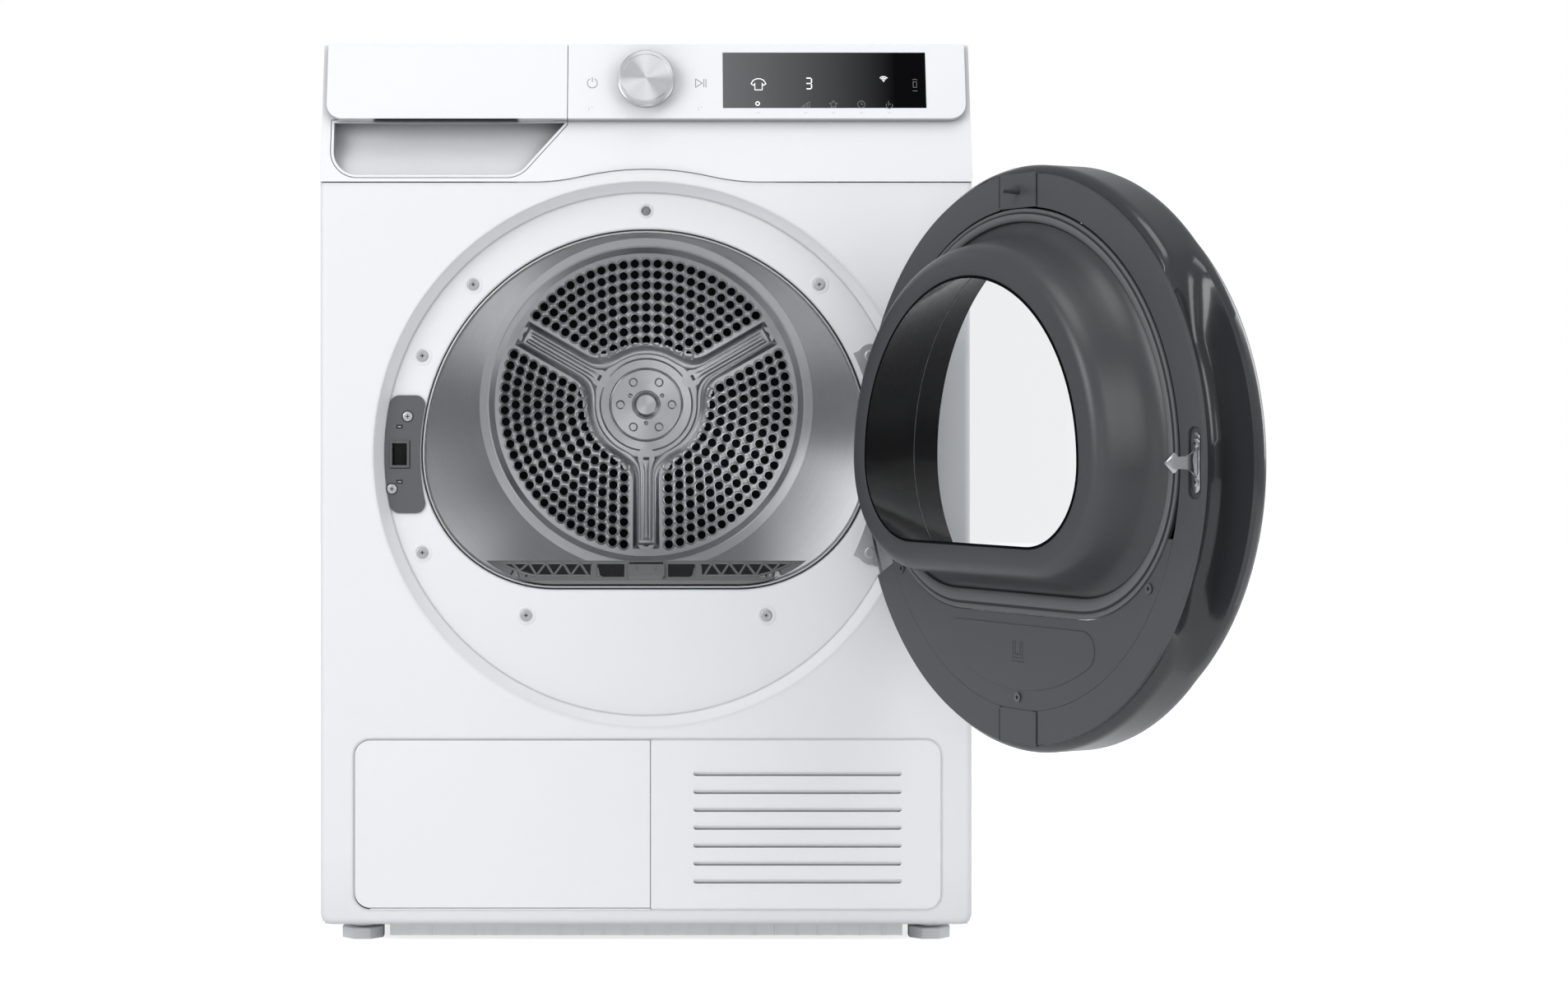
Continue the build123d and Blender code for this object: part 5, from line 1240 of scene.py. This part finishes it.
# %% Moulded filter sign
sign_up = door_middle - 161.0
sign_skin = 12.6
sign_lift = 2000
moulded_line = 0.9
net = bmesh.new()
for half, foot in ((6.5, -6.0), (3.4, -3.0)):
    frame_path = [(side * half, sign_up + z) for side, z in ((-1, 8.0), (-1, foot), (1, foot), (1, 8.0))]
    add_stroke(net, frame_path, moulded_line, False, on_door, sign_skin, sign_lift)
slot_line = line(-9.0, sign_up - 9.0, 9.0, sign_up - 9.0, moulded_line)
add_stroke(net, *slot_line, on_door, sign_skin, sign_lift)
add_piece("filter_sign", net, "rim_gloss", "door", "door_grey")
print("filter sign made")

# %% [markdown]
# At the top and at the foot of the door's frame a small tab is let in, and a fine dark seam on each side
# shows it.

# %% Seams of the tabs
tab_edge = 25.8
tab_skin = 12.7
tab_lift = 1000
tab_near, tab_far = 211.5, 238.0
seam_wide = 0.9
net = bmesh.new()
for x in (-tab_edge, tab_edge):
    for side in (-1, 1):
        seam = line(x, door_middle + side * tab_near, x, door_middle + side * tab_far, seam_wide)
        add_stroke(net, *seam, on_door, tab_skin, tab_lift)
add_piece("tab_seams", net, "dark_slot_and_shade", "door")
print("seams made")

# %% [markdown]
# The photo does not show the back. The sheet there is held by screws along its edges, so a row of low
# heads goes up each side, each with its slot.

# %% Screws of the rear panel
rear_low, rear_high = [1000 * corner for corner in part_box("rear_panel")]
rear_face = rear_high.y - 1000 * front_plane
rear_inset = 14
rear_margin = 50
rear_rows = 4
rear_head = [(4.6, 0.0), (4.4, 1.2), (3.4, 1.9), (0.05, 2.0)]
heads = bmesh.new()
slots = bmesh.new()
for x in (rear_low.x + rear_inset, rear_high.x - rear_inset):
    for row in range(rear_rows):
        z = rear_low.z + rear_margin + (rear_high.z - rear_low.z - 2 * rear_margin) * row / (rear_rows - 1)
        add_lathe(heads, x, z, rear_head, rear_face, 24)
        add_plus(slots, x, z, on_cabinet, rear_face + 1.5, rear_face + 2.1)
add_piece("rear_screw_heads", heads, "zinc_steel", "cabinet", smooth=True)
add_piece("rear_screw_slots", slots, "dark_slot_and_shade", "cabinet")
print("rear screws", 2 * rear_rows)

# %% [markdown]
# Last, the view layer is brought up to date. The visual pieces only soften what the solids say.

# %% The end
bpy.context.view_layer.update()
